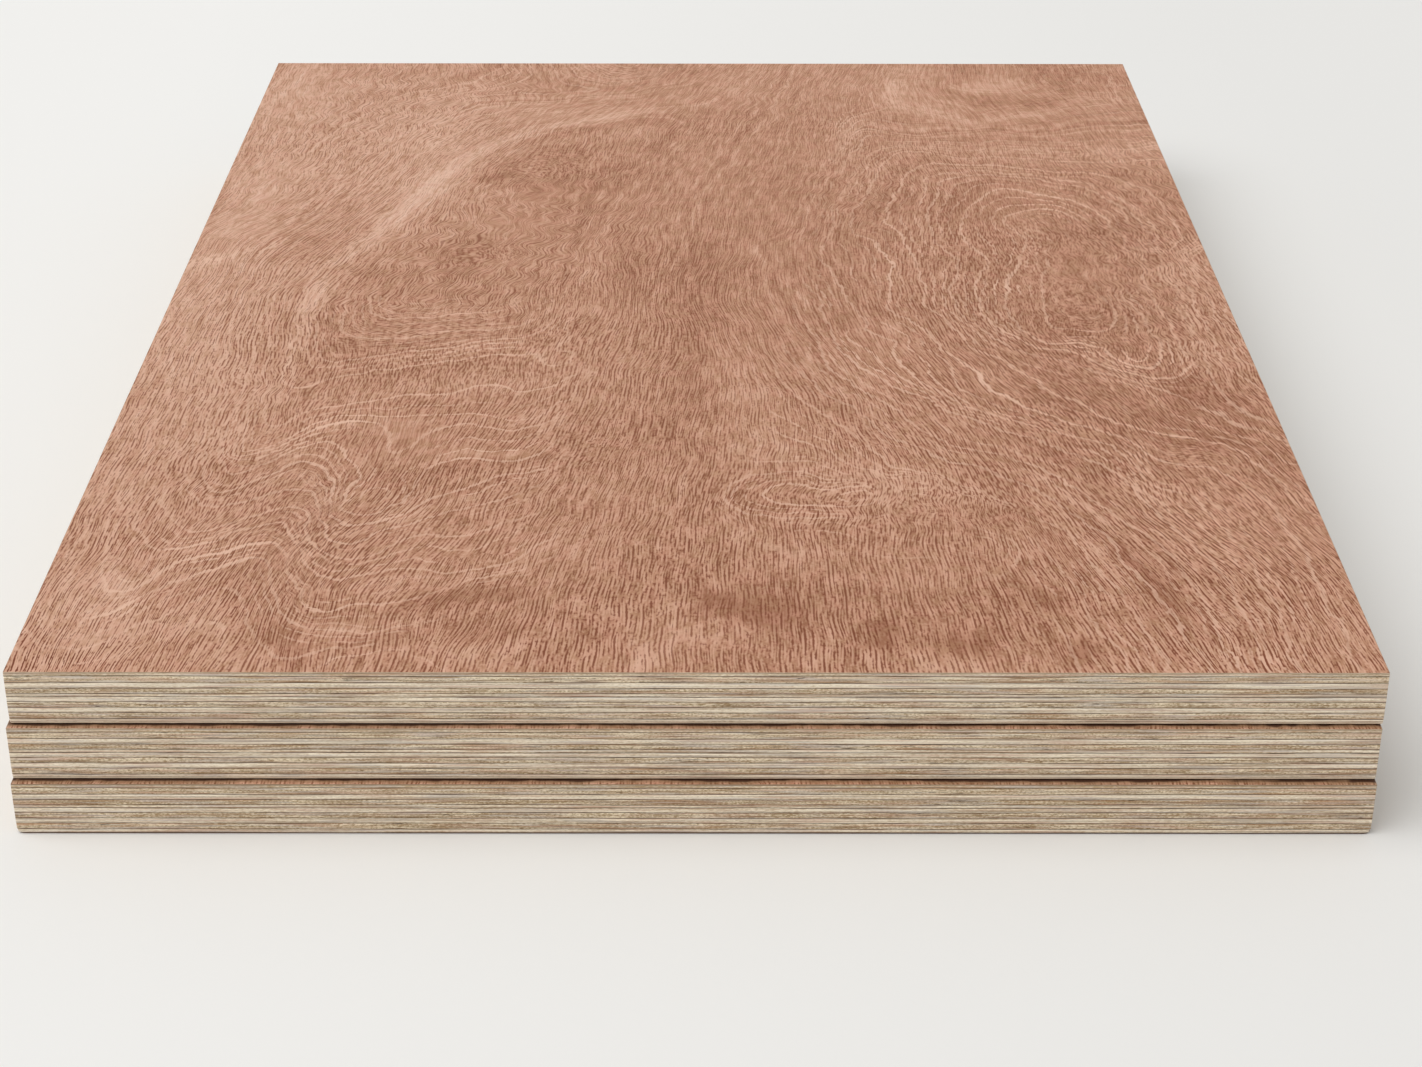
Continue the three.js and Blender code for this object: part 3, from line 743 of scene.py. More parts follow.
def ovals(places):
    """The sum of soft ovals, each strength exp(-((l / length)^4 + (w / width)^2) / softness)."""
    softness = 1.2
    found = np.zeros_like(GRID_X)
    for x, y, length, width, turn, strength in places:
        a = math.radians(turn)
        along = (GRID_X - x) * math.sin(a) + (GRID_Y - y) * math.cos(a)
        across = (GRID_X - x) * math.cos(a) - (GRID_Y - y) * math.sin(a)
        found += strength * np.exp(-((along / length) ** 4 + (across / width) ** 2) / softness)
    return found


def lean_between(leans):
    """The grain's lean on the whole grid: the mean of the given ones, in which each counts
    1 / (d^2 + r^2)^2 at a distance d."""
    reach = 12
    total, share = np.zeros_like(GRID_X), np.zeros_like(GRID_X)
    for x, y, lean in leans:
        near = 1 / ((GRID_X - x) ** 2 + (GRID_Y - y) ** 2 + reach**2) ** 2
        total += near * math.radians(lean)
        share += near
    return total / share


def surface_of_slopes(slope_x, slope_y):
    """The surface whose steps on the grid come nearest to the given slopes: least squares, whose
    equations are a Poisson equation, solved by Fourier series of the field and its mirror
    images."""
    step_x = FIELD_STEP * (slope_x[:, 1:] + slope_x[:, :-1]) / 2
    step_y = FIELD_STEP * (slope_y[1:] + slope_y[:-1]) / 2
    source = np.zeros_like(GRID_X)
    source[:, 1:] += step_x
    source[:, :-1] -= step_x
    source[1:] += step_y
    source[:-1] -= step_y
    mirrored = np.block([[source, source[:, ::-1]], [source[::-1], source[::-1, ::-1]]])
    share_y, share_x = (2 - 2 * np.cos(2 * np.pi * np.arange(n) / n) for n in mirrored.shape)
    share = share_y[:, None] + share_x
    share[0, 0] = 1
    found = np.fft.ifft2(np.fft.fft2(mirrored) / share).real
    return found[:source.shape[0], :source.shape[1]]


def along_and_across_grain(lean, rounds):
    """Millimetres along the grain and across it, as grids: surfaces whose slopes are the unit
    vectors along and across the grain. Contours of the second follow the grain the better for
    a density that its slope is multiplied by, which is found in rounds. Each round holds it
    between the loosest and the tightest, before and after its mean is brought to 1."""
    loosest, tightest = (0.3, 0.6), (3.0, 1.6)
    sine, cosine = np.sin(lean), np.cos(lean)
    density = np.ones_like(lean)
    for _ in range(rounds):
        across = surface_of_slopes(density * cosine, -density * sine)
        slope_y, slope_x = np.gradient(across, FIELD_STEP)
        density = np.clip(slope_x * cosine - slope_y * sine, loosest[0], tightest[0])
        density = np.clip(density / density.mean(), loosest[1], tightest[1])
    return surface_of_slopes(sine, cosine), across


def figure_fields(growth, leans, places, seed):
    """What the face material reads, as grids: the growth layer, its change for each millimetre,
    millimetres along and across the grain, how those across it crowd, how long, how dark and how
    ringed the vessels are, how well the growth lines show, and tone. Vessels are paler at the
    back and on pale wood, and darker by the front corners."""
    slope_y, slope_x = np.gradient(softened(growth, 2), FIELD_STEP)
    shown = {name: np.clip(ovals(spots), 0, 1) for name, spots in places.items()}
    tone = ovals(places["tone"])
    lean = lean_between(leans) + LEAN_WANDER * ripple(seed, LEAN_HILLS)
    along, across = along_and_across_grain(lean, min(len(leans), GRAIN_ROUNDS))
    crowd_y, crowd_x = np.gradient(across, FIELD_STEP)
    corners = np.clip((np.abs(GRID_X) - CORNERS_START) / CORNERS_WIDTH, 0, 1)
    corners *= np.clip(1 - GRID_Y / CORNERS_DEPTH, 0, 1)
    darkness = (VESSEL_DARKNESS - PALER_TO_THE_BACK * GRID_Y) * (1 + DARKER_CORNERS * corners)
    paled = np.clip(PALE_LIMIT - tone, PALEST_VESSEL, 1)
    lines = LINES_SHOWN + ovals(places["strong"]) - ovals(places["lineless"])
    return {
        "growth_layer": growth,
        "layer_slope": np.hypot(slope_x, slope_y),
        "along_grain": along,
        "across_grain": across + CURL * ripple(seed + 1, CURL_HILLS) * shown["curly"],
        "grain_crowding": np.hypot(crowd_x, crowd_y),
        "vessel_length": 1 - shown["fine"],
        "vessel_darkness": darkness * (1 - shown["smooth"]) * paled,
        "ringed": shown["ringed"],
        "lines_shown": np.clip(lines, 0, 1),
        "tone": tone,
    }


def put_figure(mesh, fields, x_middle, y_front):
    """Writes a face's fields into the mesh's points, each read from the grid by its place
    between the four nearest grid points."""
    just_inside = 0.001
    co = np.empty(3 * len(mesh.vertices), np.float32)
    mesh.vertices.foreach_get("co", co)
    x, y = (co.reshape(-1, 3)[:, :2] - (x_middle, y_front)).T / MM
    i = np.clip((x - FIELD_X[0]) / FIELD_STEP, 0, len(FIELD_X) - 1 - just_inside)
    j = np.clip((y - FIELD_Y[0]) / FIELD_STEP, 0, len(FIELD_Y) - 1 - just_inside)
    i0, j0 = i.astype(int), j.astype(int)
    u, v = i - i0, j - j0
    for name, field in fields.items():
        front = field[j0, i0] * (1 - u) + field[j0, i0 + 1] * u
        back = field[j0 + 1, i0] * (1 - u) + field[j0 + 1, i0 + 1] * u
        add_value(mesh, name, front * (1 - v) + back * v)


# ---------------------------------------------------------------- short ways to lay out nodes
def srgb(red, green, blue):
    """A screen colour from 0 to 255 as the linear colour that the shaders take."""
    c = np.array([red, green, blue]) / 255
    linear = np.where(c <= 0.04045, c / 12.92, ((c + 0.055) / 1.055) ** 2.4)
    return (*linear.tolist(), 1.0)


class Tree:
    """Adds nodes to one node tree. A value is a number, a colour or another node's output."""

    def __init__(self, tree):
        self.tree = tree

    def put(self, value, socket):
        """Links or writes a value into an input."""
        if isinstance(value, bpy.types.NodeSocket):
            self.tree.links.new(value, socket)
        else:
            socket.default_value = value

    def add(self, kind, inputs=None, **settings):
        """A node with its settings, and its inputs by name or number."""
        node = self.tree.nodes.new("ShaderNode" + kind)
        for name, value in settings.items():
            setattr(node, name, value)
        for name, value in (inputs or {}).items():
            self.put(value, node.inputs[name])
        return node

    def attribute(self, name):
        """A number that add_value wrote into the mesh."""
        return self.add("Attribute", attribute_name=name).outputs["Fac"]

    def place(self):
        """The place on the object, in metres."""
        return self.add("TexCoord").outputs["Object"]

    def math(self, operation, *values):
        """One sum, product or the like of numbers."""
        return self.add("Math", dict(enumerate(values)), operation=operation).outputs[0]

    def times(self, first, second):
        """The product of two numbers."""
        return self.math("MULTIPLY", first, second)

    def total(self, *values):
        """The sum of any count of numbers."""
        found = values[0]
        for value in values[1:]:
            found = self.math("ADD", found, value)
        return found

    def spread(self, value, low, high, at_low=0.0, at_high=1.0):
        """The value's range from low to high taken to another range, and held at its ends."""
        inputs = {"Value": value, "From Min": low, "From Max": high, "To Min": at_low, "To Max": at_high}
        return self.add("MapRange", inputs).outputs[0]

    def swing(self, noise, size, reach=0.25):
        """Noise, which lies about a half, as a number from -size to size. It gets to them where
        the noise is as far as reach from a half."""
        return self.spread(noise, 0.5 - reach, 0.5 + reach, -size, size)

    def between(self, share, low, high):
        """A number between two others."""
        return self.math("MULTIPLY_ADD", share, self.math("SUBTRACT", high, low), low)

    def combine(self, x, y, z):
        """A place from three numbers."""
        return self.add("CombineXYZ", {0: x, 1: y, 2: z}).outputs[0]

    def separate(self, vector):
        """A place as three numbers."""
        return self.add("SeparateXYZ", {0: vector}).outputs

    def noise(self, place, scale, detail=2.0, roughness=0.5):
        """Noise in space, with scale cells a metre."""
        inputs = {"Vector": place, "Scale": scale, "Detail": detail, "Roughness": roughness}
        return self.add("TexNoise", inputs).outputs[0]

    def flat_noise(self, place, scale, detail=1.0):
        """Noise over a flat face, whose third coordinate never changes."""
        inputs = {"Vector": place, "Scale": scale, "Detail": detail}
        return self.add("TexNoise", inputs, noise_dimensions="2D").outputs[0]

    def line_noise(self, value, scale, detail=1.0):
        """Noise along one number only."""
        inputs = {"W": value, "Scale": scale, "Detail": detail}
        return self.add("TexNoise", inputs, noise_dimensions="1D").outputs[0]

    def mix(self, share, low, high):
        """A colour between two others."""
        node = self.add("Mix", data_type="RGBA")
        for name, value in (("Factor", share), ("A", low), ("B", high)):
            self.put(value, next(s for s in node.inputs if s.enabled and s.name == name))
        return next(s for s in node.outputs if s.enabled)

    def use(self, group, **inputs):
        """A shared effect with its own values; returns its outputs."""
        node = self.tree.nodes.new("ShaderNodeGroup")
        node.node_tree = group
        for name, value in inputs.items():
            self.put(value, node.inputs[name])
        return node.outputs


def shared_effect(name, inputs, outputs, build):
    """A node group of numbers with these names in and out. build(tree, inputs) returns a value
    for each output."""
    group = bpy.data.node_groups.new(name, "ShaderNodeTree")
    for names, in_out in ((inputs, "INPUT"), (outputs, "OUTPUT")):
        for socket_name in names:
            group.interface.new_socket(name=socket_name, in_out=in_out, socket_type="NodeSocketFloat")
    start = group.nodes.new("NodeGroupInput")
    end = group.nodes.new("NodeGroupOutput")
    tree = Tree(group)
    for value, socket_name in zip(build(tree, start.outputs), outputs):
        tree.put(value, end.inputs[socket_name])
    return group


# ---------------------------------------------------------------- effects that finishes share
def distance_to_whole(t, number, slope, least_slope):
    """How many millimetres away the number is whole: the distance to the nearest whole number
    over the number's change for each millimetre."""
    off = t.math("ABSOLUTE", t.math("SUBTRACT", number, t.math("ROUND", number)))
    return t.math("DIVIDE", off, t.math("MAXIMUM", slope, least_slope))


def build_growth_lines(t, given):
    """Pale lines where the layer number is whole, and fainter ones at its thirds. Their strength
    wanders, the fibres make them ragged, and they vanish where they would crowd. The band is
    tone that follows the layers. Wider is what the lines gain on each side, in millimetres."""
    ragged_scale, raggedness, raggedness_by_fibres = 260, 0.3, 1.7
    line_side, third_side = (0.9, 0.35), (0.6, 0.2)     # millimetres from none to all of a line
    line_strength, third_places = (0.35, 0.6, 0.65, 1.0), (0.36, 0.52)
    third_strength = (0.36, 0.58, 0.35, 1.0)
    wander_scale, third_scale, band_scales = 42, 2.3, (2.1, 7.3)
    least_slope, crowded = 0.03, (0.2, 0.34)            # layers a millimetre

    layer, slope = given["Layer"], given["Slope"]
    ragged = t.total(t.swing(t.flat_noise(t.place(), ragged_scale), raggedness, 0.2),
                     t.times(given["Fibres"], raggedness_by_fibres))
    near_line = t.total(distance_to_whole(t, layer, slope, least_slope), ragged,
                        t.times(given["Wider"], -1.0))
    wander = t.noise(t.place(), wander_scale, 1.0)
    line = t.times(t.spread(near_line, *line_side), t.spread(wander, *line_strength))
    thirds = t.times(layer, 3.0)
    near_third = t.total(
        distance_to_whole(t, thirds, t.times(slope, 3.0), 3 * least_slope), ragged)
    own_noise = t.line_noise(t.math("ROUND", thirds), third_scale)
    shown = t.times(t.spread(own_noise, *third_strength), t.spread(wander, *third_places))
    fainter = t.times(t.spread(near_third, *third_side), shown)
    broad, narrow = (t.line_noise(layer, scale) for scale in band_scales)
    band = t.total(t.times(broad, 0.6), t.times(narrow, 0.4))
    return t.times(t.math("MAXIMUM", line, fainter), t.spread(slope, *crowded, 1.0, 0.0)), band


def build_edge_noise(t, given):
    """Noise drawn out along a sawn edge: the place is divided by the streaks' length along it
    and by their height up it."""
    where = t.combine(
        t.math("DIVIDE", given["Along"], given["Length"]),
        t.math("DIVIDE", given["Up"], given["Height"]),
        given["Layer"])
    return (t.noise(where, scale=1.0, detail=1.0, roughness=0.6),)


def build_glue_line(t, given):
    """A dark line at both boundaries of a ply, of changing strength and width. Upper and lower
    line wander apart, because the noise is read at another place for each."""
    cells_a_metre, lines_apart = 90, 5.3
    thin, thick, core = 0.1 * MM, 0.23 * MM, 0.6        # core is the share that is fully dark
    strength = (0.25, 0.6, 0.5, 1.0)
    nearest = t.math("MINIMUM", given["Height"], given["Depth"])
    upper = t.math("LESS_THAN", given["Depth"], given["Height"])
    where = t.combine(t.times(given["Along"], cells_a_metre), t.times(upper, lines_apart),
                      given["Layer"])
    wander = t.noise(where, scale=1.0, detail=3.0, roughness=0.6)
    width = t.spread(wander, 0.3, 0.7, thin, thick)
    line = t.spread(nearest, width, t.times(width, core))
    return (t.times(line, t.spread(wander, *strength)),)


def build_drawn_noise(t, given):
    """Noise smeared along the grain: the mean of the noise at five places in a row along it,
    Step millimetres apart. That leaves strokes at an even pitch across the grain. The smeared
    noise is made stronger again, the more so the longer the step."""
    across_cells, along_cells = 2.25, 0.52              # cells a millimetre
    strength = (0.2, 1.6, 1.15, 2.0)                    # at the shortest and the longest step
    across = t.times(given["Across"], across_cells)
    heard = []
    for k in range(-2, 3):
        along = t.math("MULTIPLY_ADD", given["Step"], float(k), given["Along"])
        where = t.combine(across, t.times(along, along_cells), 0.0)
        heard.append(t.flat_noise(where, scale=1.0, detail=0.0))
    away = t.math("SUBTRACT", t.math("DIVIDE", t.total(*heard), float(len(heard))), 0.5)
    return (t.times(away, t.spread(given["Step"], *strength)),)


growth_lines = shared_effect(
    "growth_lines", ("Layer", "Slope", "Fibres", "Wider"), ("Line", "Band"), build_growth_lines)
edge_noise = shared_effect(
    "edge_noise", ("Along", "Up", "Layer", "Length", "Height"), ("Value",), build_edge_noise)
glue_line = shared_effect(
    "glue_line", ("Along", "Height", "Depth", "Layer"), ("Line",), build_glue_line)
drawn_noise = shared_effect(
    "drawn_noise", ("Along", "Across", "Step"), ("Value",), build_drawn_noise)


# ---------------------------------------------------------------- finishes
WOOD_IOR = 1.45
FACE_SHINE = 0.5
EDGE_SHINE = 0.3


def new_material(name):
    """An empty material, and the tree that its nodes go into."""
    material = bpy.data.materials.new(name)
    material.use_nodes = True
    material.node_tree.nodes.clear()
    return material, Tree(material.node_tree)


def finish_of(colour, roughness, height, bump_depth, tree, material, shine=EDGE_SHINE):
    """Ends a material: a Principled shader with a colour, a roughness, a shine and, where a
    height is given, a bump."""
    shader = tree.add("BsdfPrincipled", {"Base Color": colour, "Roughness": roughness})
    if height is not None:
        bump = tree.add("Bump", {"Height": height, "Distance": bump_depth, "Strength": 1.0})
        tree.put(bump.outputs[0], shader.inputs["Normal"])
    shader.inputs["IOR"].default_value = WOOD_IOR
    shader.inputs["Specular IOR Level"].default_value = shine
    tree.add("OutputMaterial", {"Surface": shader.outputs[0]})
    return material


# Red-brown face veneer
FACE_DARK = srgb(152, 98, 67)
FACE_MIDDLE = srgb(186, 134, 104)
FACE_PALE = srgb(214, 168, 141)
FACE_PALEST = srgb(230, 190, 166)
FACE_ROSY = srgb(198, 140, 116)
FACE_TAN = srgb(178, 132, 94)
GROWTH_LINE = srgb(231, 189, 163)
VESSEL = srgb(116, 54, 22)
FLECK = srgb(220, 174, 146)
# Painted shade: a dark seam beside the panel above and at the bottom panel's foot, and a brown fade
# beside the seam
PAINTED_SHADE = srgb(72, 42, 26)
PAINTED_SHADE_FADE = srgb(138, 108, 76)

# The tones at which each colour is pure
FACE_TONES = ((-0.5, FACE_DARK), (0.0, FACE_MIDDLE), (0.5, FACE_PALE), (1.0, FACE_PALEST))

# Cells a metre of its noises
CLOUD_SCALE = 24
MOTTLE_SCALE = 210
FRAGMENT_SCALE = 130

# How far each effect moves the tone
PATCH_TONE = 0.42
CLOUD_TONE = 0.12
MOTTLE_TONE = 0.13
STREAK_TONE = 0.3
BAND_TONE = 0.25
TONE_SHIFT = -0.05

# Masks and ranges: the low and high of what is read, then the two values that they are taken
# to, which are 0 and 1 where they aren't given
VESSEL_MASK = (0.02, 0.15)
VESSEL_DEPTH = (0.0, 1.0, 0.86, 0.9)            # from the length of the vessels
VESSEL_DEPTH_IN_CLOUDS = (0.35, 0.65, 1.0, 0.75)
FLECK_MASK = (-0.01, -0.14, 0.0, 0.5)
FLECKS_ON_DARK = (-1.0, 0.0, 0.3, 1.0)
ROSY_MOTTLE = (0.5, 0.72, 0.0, 0.4)
TAN_MOTTLE = (0.5, 0.28, 0.0, 0.4)
WIDER_LINES = (0.8, 1.0, 0.0, 0.45)
LINE_FRAGMENTS = (0.65, 0.95)
LINE_STRENGTH = (0.05, 1.0, 0.0, 0.95)
FACE_ROUGHNESS = (0.3, 0.7, 0.52, 0.62)
FRAGMENT_NOISE = 0.9            # how much its noise breaks a growth line into fragments
LINE_OVER_VESSELS = -0.8        # how much a growth line hides the vessels that it crosses
VESSEL_ROUGHNESS = 0.15
FACE_BUMP = 0.1 * MM

VESSEL_STEP = (0.45, 1.5)       # how far short and long vessels are smeared, in millimetres
RINGED_CELLS = 32.0             # cells in a growth layer where vessels follow the layers
RINGED_LENGTH = 2.2 * MM        # and the cells' size along them
CROWDING_LIMIT = 0.8            # past it places across the grain crowd, and the pitch is wider
WIDER_PITCH = 0.6

# Painted shade beside a panel that lies on this one, a brown fade and a dark seam, as masks from
# the distance to that panel, and how far both wander
PAINTED_FADE_REACH = (2.6 * MM, 0.9 * MM, 0.0, 0.8)
PAINTED_SEAM_REACH = (0.9 * MM, 0.3 * MM)
PAINTED_SHADE_WANDER = 0.5 * MM


def vessel_noise(t, layer):
    """Noise of vessels: drawn out along the grain, at a wider pitch where the places
    across the grain crowd, or along the growth layers where it is ringed."""
    crowded = t.math("GREATER_THAN", t.attribute("grain_crowding"), CROWDING_LIMIT)
    pitch = t.math("MULTIPLY_ADD", crowded, WIDER_PITCH, 1.0)
    upright = t.use(drawn_noise, Along=t.attribute("along_grain"),
                    Across=t.math("DIVIDE", t.attribute("across_grain"), pitch),
                    Step=t.spread(t.attribute("vessel_length"), 0.0, 1.0, *VESSEL_STEP))["Value"]
    x, y, _ = t.separate(t.place())
    where = t.combine(t.times(layer, RINGED_CELLS), t.math("DIVIDE", x, RINGED_LENGTH),
                      t.math("DIVIDE", y, RINGED_LENGTH))
    ringed = t.math("SUBTRACT", t.noise(where, scale=1.0, detail=0.0), 0.5)
    return t.between(t.attribute("ringed"), upright, ringed)


def face_tone(t, clouds, mottle, band):
    """How pale the face is: the listed patches, clouds, mottle, streaks drawn out along the
    grain and bands that follow the growth layers."""
    across_cells, along_cells = 0.5, 0.06       # cells a millimetre
    drawn = t.combine(t.times(t.attribute("across_grain"), across_cells),
                      t.times(t.attribute("along_grain"), along_cells), 0.0)
    return t.total(
        t.times(t.attribute("tone"), PATCH_TONE),
        t.swing(clouds, CLOUD_TONE),
        t.swing(mottle, MOTTLE_TONE),
        t.swing(t.flat_noise(drawn, 1.0), STREAK_TONE),
        t.swing(band, BAND_TONE), TONE_SHIFT)


def face_finish(name):
    """Rotary-cut red hardwood: clouds and layers of tone, pale growth lines and dark vessels.
    Past the panel that lies on it, painted shade darkens the face beside that panel's edge."""
    material, t = new_material(name)
    layer = t.attribute("growth_layer")
    fibres = vessel_noise(t, layer)
    shown = t.attribute("lines_shown")
    rings = t.use(growth_lines, Layer=layer, Slope=t.attribute("layer_slope"), Fibres=fibres,
                  Wider=t.spread(shown, *WIDER_LINES))
    clouds = t.noise(t.place(), CLOUD_SCALE)
    mottle = t.noise(t.place(), MOTTLE_SCALE, 1.0)

    tone = face_tone(t, clouds, mottle, rings["Band"])
    colour = FACE_DARK
    for (below, _), (above, shade) in zip(FACE_TONES[:-1], FACE_TONES[1:]):
        colour = t.mix(t.spread(tone, below, above), colour, shade)
    colour = t.mix(t.spread(mottle, *ROSY_MOTTLE), colour, FACE_ROSY)
    colour = t.mix(t.spread(mottle, *TAN_MOTTLE), colour, FACE_TAN)

    fragments = t.flat_noise(t.place(), FRAGMENT_SCALE)
    fragments = t.math("MULTIPLY_ADD", fragments, FRAGMENT_NOISE, shown)
    line = t.times(rings["Line"], t.spread(fragments, *LINE_FRAGMENTS))
    colour = t.mix(t.times(line, t.spread(shown, *LINE_STRENGTH)), colour, GROWTH_LINE)

    darkness = t.attribute("vessel_darkness")
    flecks = t.times(t.spread(fibres, *FLECK_MASK),
                     t.times(darkness, t.spread(t.attribute("tone"), *FLECKS_ON_DARK)))
    colour = t.mix(flecks, colour, FLECK)
    vessels = t.times(t.spread(fibres, *VESSEL_MASK),
                      t.math("MULTIPLY_ADD", line, LINE_OVER_VESSELS, 1.0))
    depth = t.times(t.times(darkness, t.spread(clouds, *VESSEL_DEPTH_IN_CLOUDS)),
                    t.spread(t.attribute("vessel_length"), *VESSEL_DEPTH))
    colour = t.mix(t.times(vessels, depth), colour, VESSEL)

    # Painted shade beside the panel that lies on this one: a brown fade, then a dark seam
    past_cover = t.total(t.attribute("past_cover"), t.swing(mottle, PAINTED_SHADE_WANDER),
                         t.swing(clouds, PAINTED_SHADE_WANDER, 0.2))
    colour = t.mix(t.spread(past_cover, *PAINTED_FADE_REACH), colour, PAINTED_SHADE_FADE)
    colour = t.mix(t.spread(past_cover, *PAINTED_SEAM_REACH), colour, PAINTED_SHADE)
    roughness = t.total(t.spread(mottle, *FACE_ROUGHNESS), t.times(vessels, VESSEL_ROUGHNESS))
    return finish_of(colour, roughness, mottle, FACE_BUMP, t, material, FACE_SHINE)


# A veneer's glued faces
GLUED_FACE_DARK = srgb(176, 150, 122)
GLUED_FACE_PALE = srgb(196, 172, 144)
GLUED_FACE_BUMP = 0.05 * MM


def hidden_finish():
    """Clouded, worn wood of the glued faces, which only show if the stack is taken apart."""
    cloud_scale, worn_scale, grain_scale = 9, 14, 60
    material, t = new_material("glued_face")
    clouds = t.spread(t.noise(t.place(), cloud_scale), 0.3, 0.7)
    colour = t.mix(clouds, GLUED_FACE_DARK, GLUED_FACE_PALE)
    rough = t.spread(t.noise(t.place(), worn_scale, 1.0), 0.3, 0.7, 0.7, 0.8)
    grain = t.noise(t.place(), grain_scale, 1.0)
    return finish_of(colour, rough, grain, GLUED_FACE_BUMP, t, material)


# Sawn edges
LONG_GRAIN_DARK = srgb(192, 165, 129)
LONG_GRAIN_PALE = srgb(254, 240, 216)
END_GRAIN_DARK = srgb(167, 141, 105)
END_GRAIN_PALE = srgb(244, 227, 198)
HEARTWOOD = srgb(172, 122, 74)
ROSY_WOOD = srgb(204, 164, 144)
GREY_WOOD = srgb(200, 192, 186)
THIN_LINE = srgb(128, 98, 66)
CRACK = srgb(62, 40, 24)
GLUE = srgb(72, 51, 32)
FACE_EDGE = srgb(150, 126, 101)
FACE_EDGE_PALE = srgb(244, 222, 194)

# Noises on the sawn edges: a number that sets each apart, its length along the edge and its
# height up it
ROSY_STRETCHES = (3.3, 26 * MM, 0.7 * MM)
GREY_STRETCHES = (7.9, 22 * MM, 0.8 * MM)
BROWN_STRETCHES = (5.1, 24 * MM, 0.8 * MM)
LONG_STREAKS = (0.0, 45 * MM, 0.55 * MM)
LONG_GRAINS = (1.7, 1.3 * MM, 0.3 * MM)
LONG_LINES = (2.9, 50 * MM, 0.2 * MM)
END_STREAKS = (0.0, 14 * MM, 0.55 * MM)
END_GRAINS = (1.7, 0.9 * MM, 0.35 * MM)
BROKEN_LINES = (2.9, 18 * MM, 0.2 * MM)
CHECKED_STRETCHES = (9.2, 40 * MM, 2.0 * MM)
SHORT_CRACKS = (4.1, 5 * MM, 0.3 * MM)
THIN_STREAKS = (0.0, 6 * MM, 0.3 * MM)
THIN_GRAINS = (1.7, 1 * MM, 0.3 * MM)

# How far each effect moves an edge's tone, and the tone that it is moved from
PLY_TONE = 0.28
EDGE_STREAK_TONE = 0.42
LONG_GRAINS_TONE = 0.4
END_GRAINS_TONE = 0.62
LONG_GRAIN_MIDDLE = 0.66
END_GRAIN_MIDDLE = 0.82

# Masks and ranges, as on the face
ROSY_MASK = (0.5, 0.66, 0.0, 0.55)
GREY_MASK = (0.52, 0.66, 0.0, 0.5)
BROWN_MASK = (0.5, 0.66)
BROWN_REACH = (0.3 * MM, 0.9 * MM, 1.0, 0.35)   # from the distance to a glue line
LONG_LINE_MASK = (0.55, 0.63, 0.0, 0.55)
BROKEN_LINE_MASK = (0.54, 0.62, 0.0, 0.75)
CHECKED_MASK = (0.5, 0.6)
CRACK_MASK = (0.66, 0.71)
MIDDLE_REACH = (0.2 * MM, 1.0 * MM, -0.2, 0.0)  # from twice the distance to a ply's middle
FOOT_SHADE_REACH = (0.6 * MM, 0.32 * MM)              # from the height above the panel's foot
THIN_STREAK_TONE = (0.3, 0.7, 0.0, 0.5)
LONG_GRAIN_ROUGHNESS = (0.25, 0.75, 0.62, 0.74)
END_GRAIN_ROUGHNESS = (0.25, 0.75, 0.68, 0.8)
FACE_EDGE_ROUGHNESS = (0.3, 0.7, 0.6, 0.72)

CRACK_STRENGTH = 0.85
CRACK_RELIEF = -1.5             # how deep a crack is against the grains' bump
FOOT_SHADE_STRENGTH = 0.9
THIN_EDGE_TONE = 0.5            # how far a face veneer's own paleness moves its tone
LONG_GRAIN_BUMP = 0.05 * MM
END_GRAIN_BUMP = 0.06 * MM
FACE_EDGE_BUMP = 0.03 * MM


class SawnEdge:
    """Places on a ply's sawn edge: along it, up from the lower glue line, down from the upper
    one, and a layer number that differs from ply to ply and from side to side. The edge runs
    along the axis 0 or 1, X or Y."""

    def __init__(self, t, axis):
        sides_apart = 20.0
        place = t.separate(t.place())
        self.t, self.along = t, place[axis]
        self.up, self.down = t.attribute("height_in_ply"), t.attribute("depth_in_ply")
        self.layer = t.math("MULTIPLY_ADD", place[1 - axis], sides_apart, t.attribute("ply_seed"))

    def noise(self, kind):
        """One of the noises above."""
        number, length, height = kind
        return self.t.use(edge_noise, Along=self.along, Up=self.up, Length=length, Height=height,
                          Layer=self.t.math("ADD", self.layer, number))["Value"]

    def tinted(self, colour):
        """The colour with stretches of rosier, greyer and, beside the glue lines, browner wood."""
        t = self.t
        rosy = t.spread(self.noise(ROSY_STRETCHES), *ROSY_MASK)
        colour = t.mix(rosy, colour, ROSY_WOOD)
        grey = t.spread(self.noise(GREY_STRETCHES), *GREY_MASK)
        colour = t.mix(grey, colour, GREY_WOOD)
        nearest = t.math("MINIMUM", self.up, self.down)
        brown = t.times(t.spread(self.noise(BROWN_STRETCHES), *BROWN_MASK),
                        t.spread(nearest, *BROWN_REACH))
        return t.mix(t.times(brown, t.attribute("ply_brown")), colour, HEARTWOOD)

    def glued(self, colour):
        """The colour with the dark glue lines at both boundaries of the ply."""
        t = self.t
        lines = t.use(glue_line, Along=self.along, Height=self.up, Depth=self.down, Layer=self.layer)
        return t.mix(t.times(lines["Line"], t.attribute("glue_shown")), colour, GLUE)


def long_grain_finish(name, axis):
    """A ply cut along its fibres: pale, with long thin lines drawn out along the edge."""
    material, t = new_material(name)
    edge = SawnEdge(t, axis)
    grains = edge.noise(LONG_GRAINS)
    tone = t.total(
        t.times(t.attribute("ply_pale"), PLY_TONE),
        t.swing(edge.noise(LONG_STREAKS), EDGE_STREAK_TONE),
        t.swing(grains, LONG_GRAINS_TONE, 0.2), LONG_GRAIN_MIDDLE)
    colour = edge.tinted(t.mix(tone, LONG_GRAIN_DARK, LONG_GRAIN_PALE))
    lines = t.spread(edge.noise(LONG_LINES), *LONG_LINE_MASK)
    colour = edge.glued(t.mix(lines, colour, THIN_LINE))
    rough = t.spread(grains, *LONG_GRAIN_ROUGHNESS)
    relief = t.math("SUBTRACT", grains, lines)
    return finish_of(colour, rough, relief, LONG_GRAIN_BUMP, t, material)


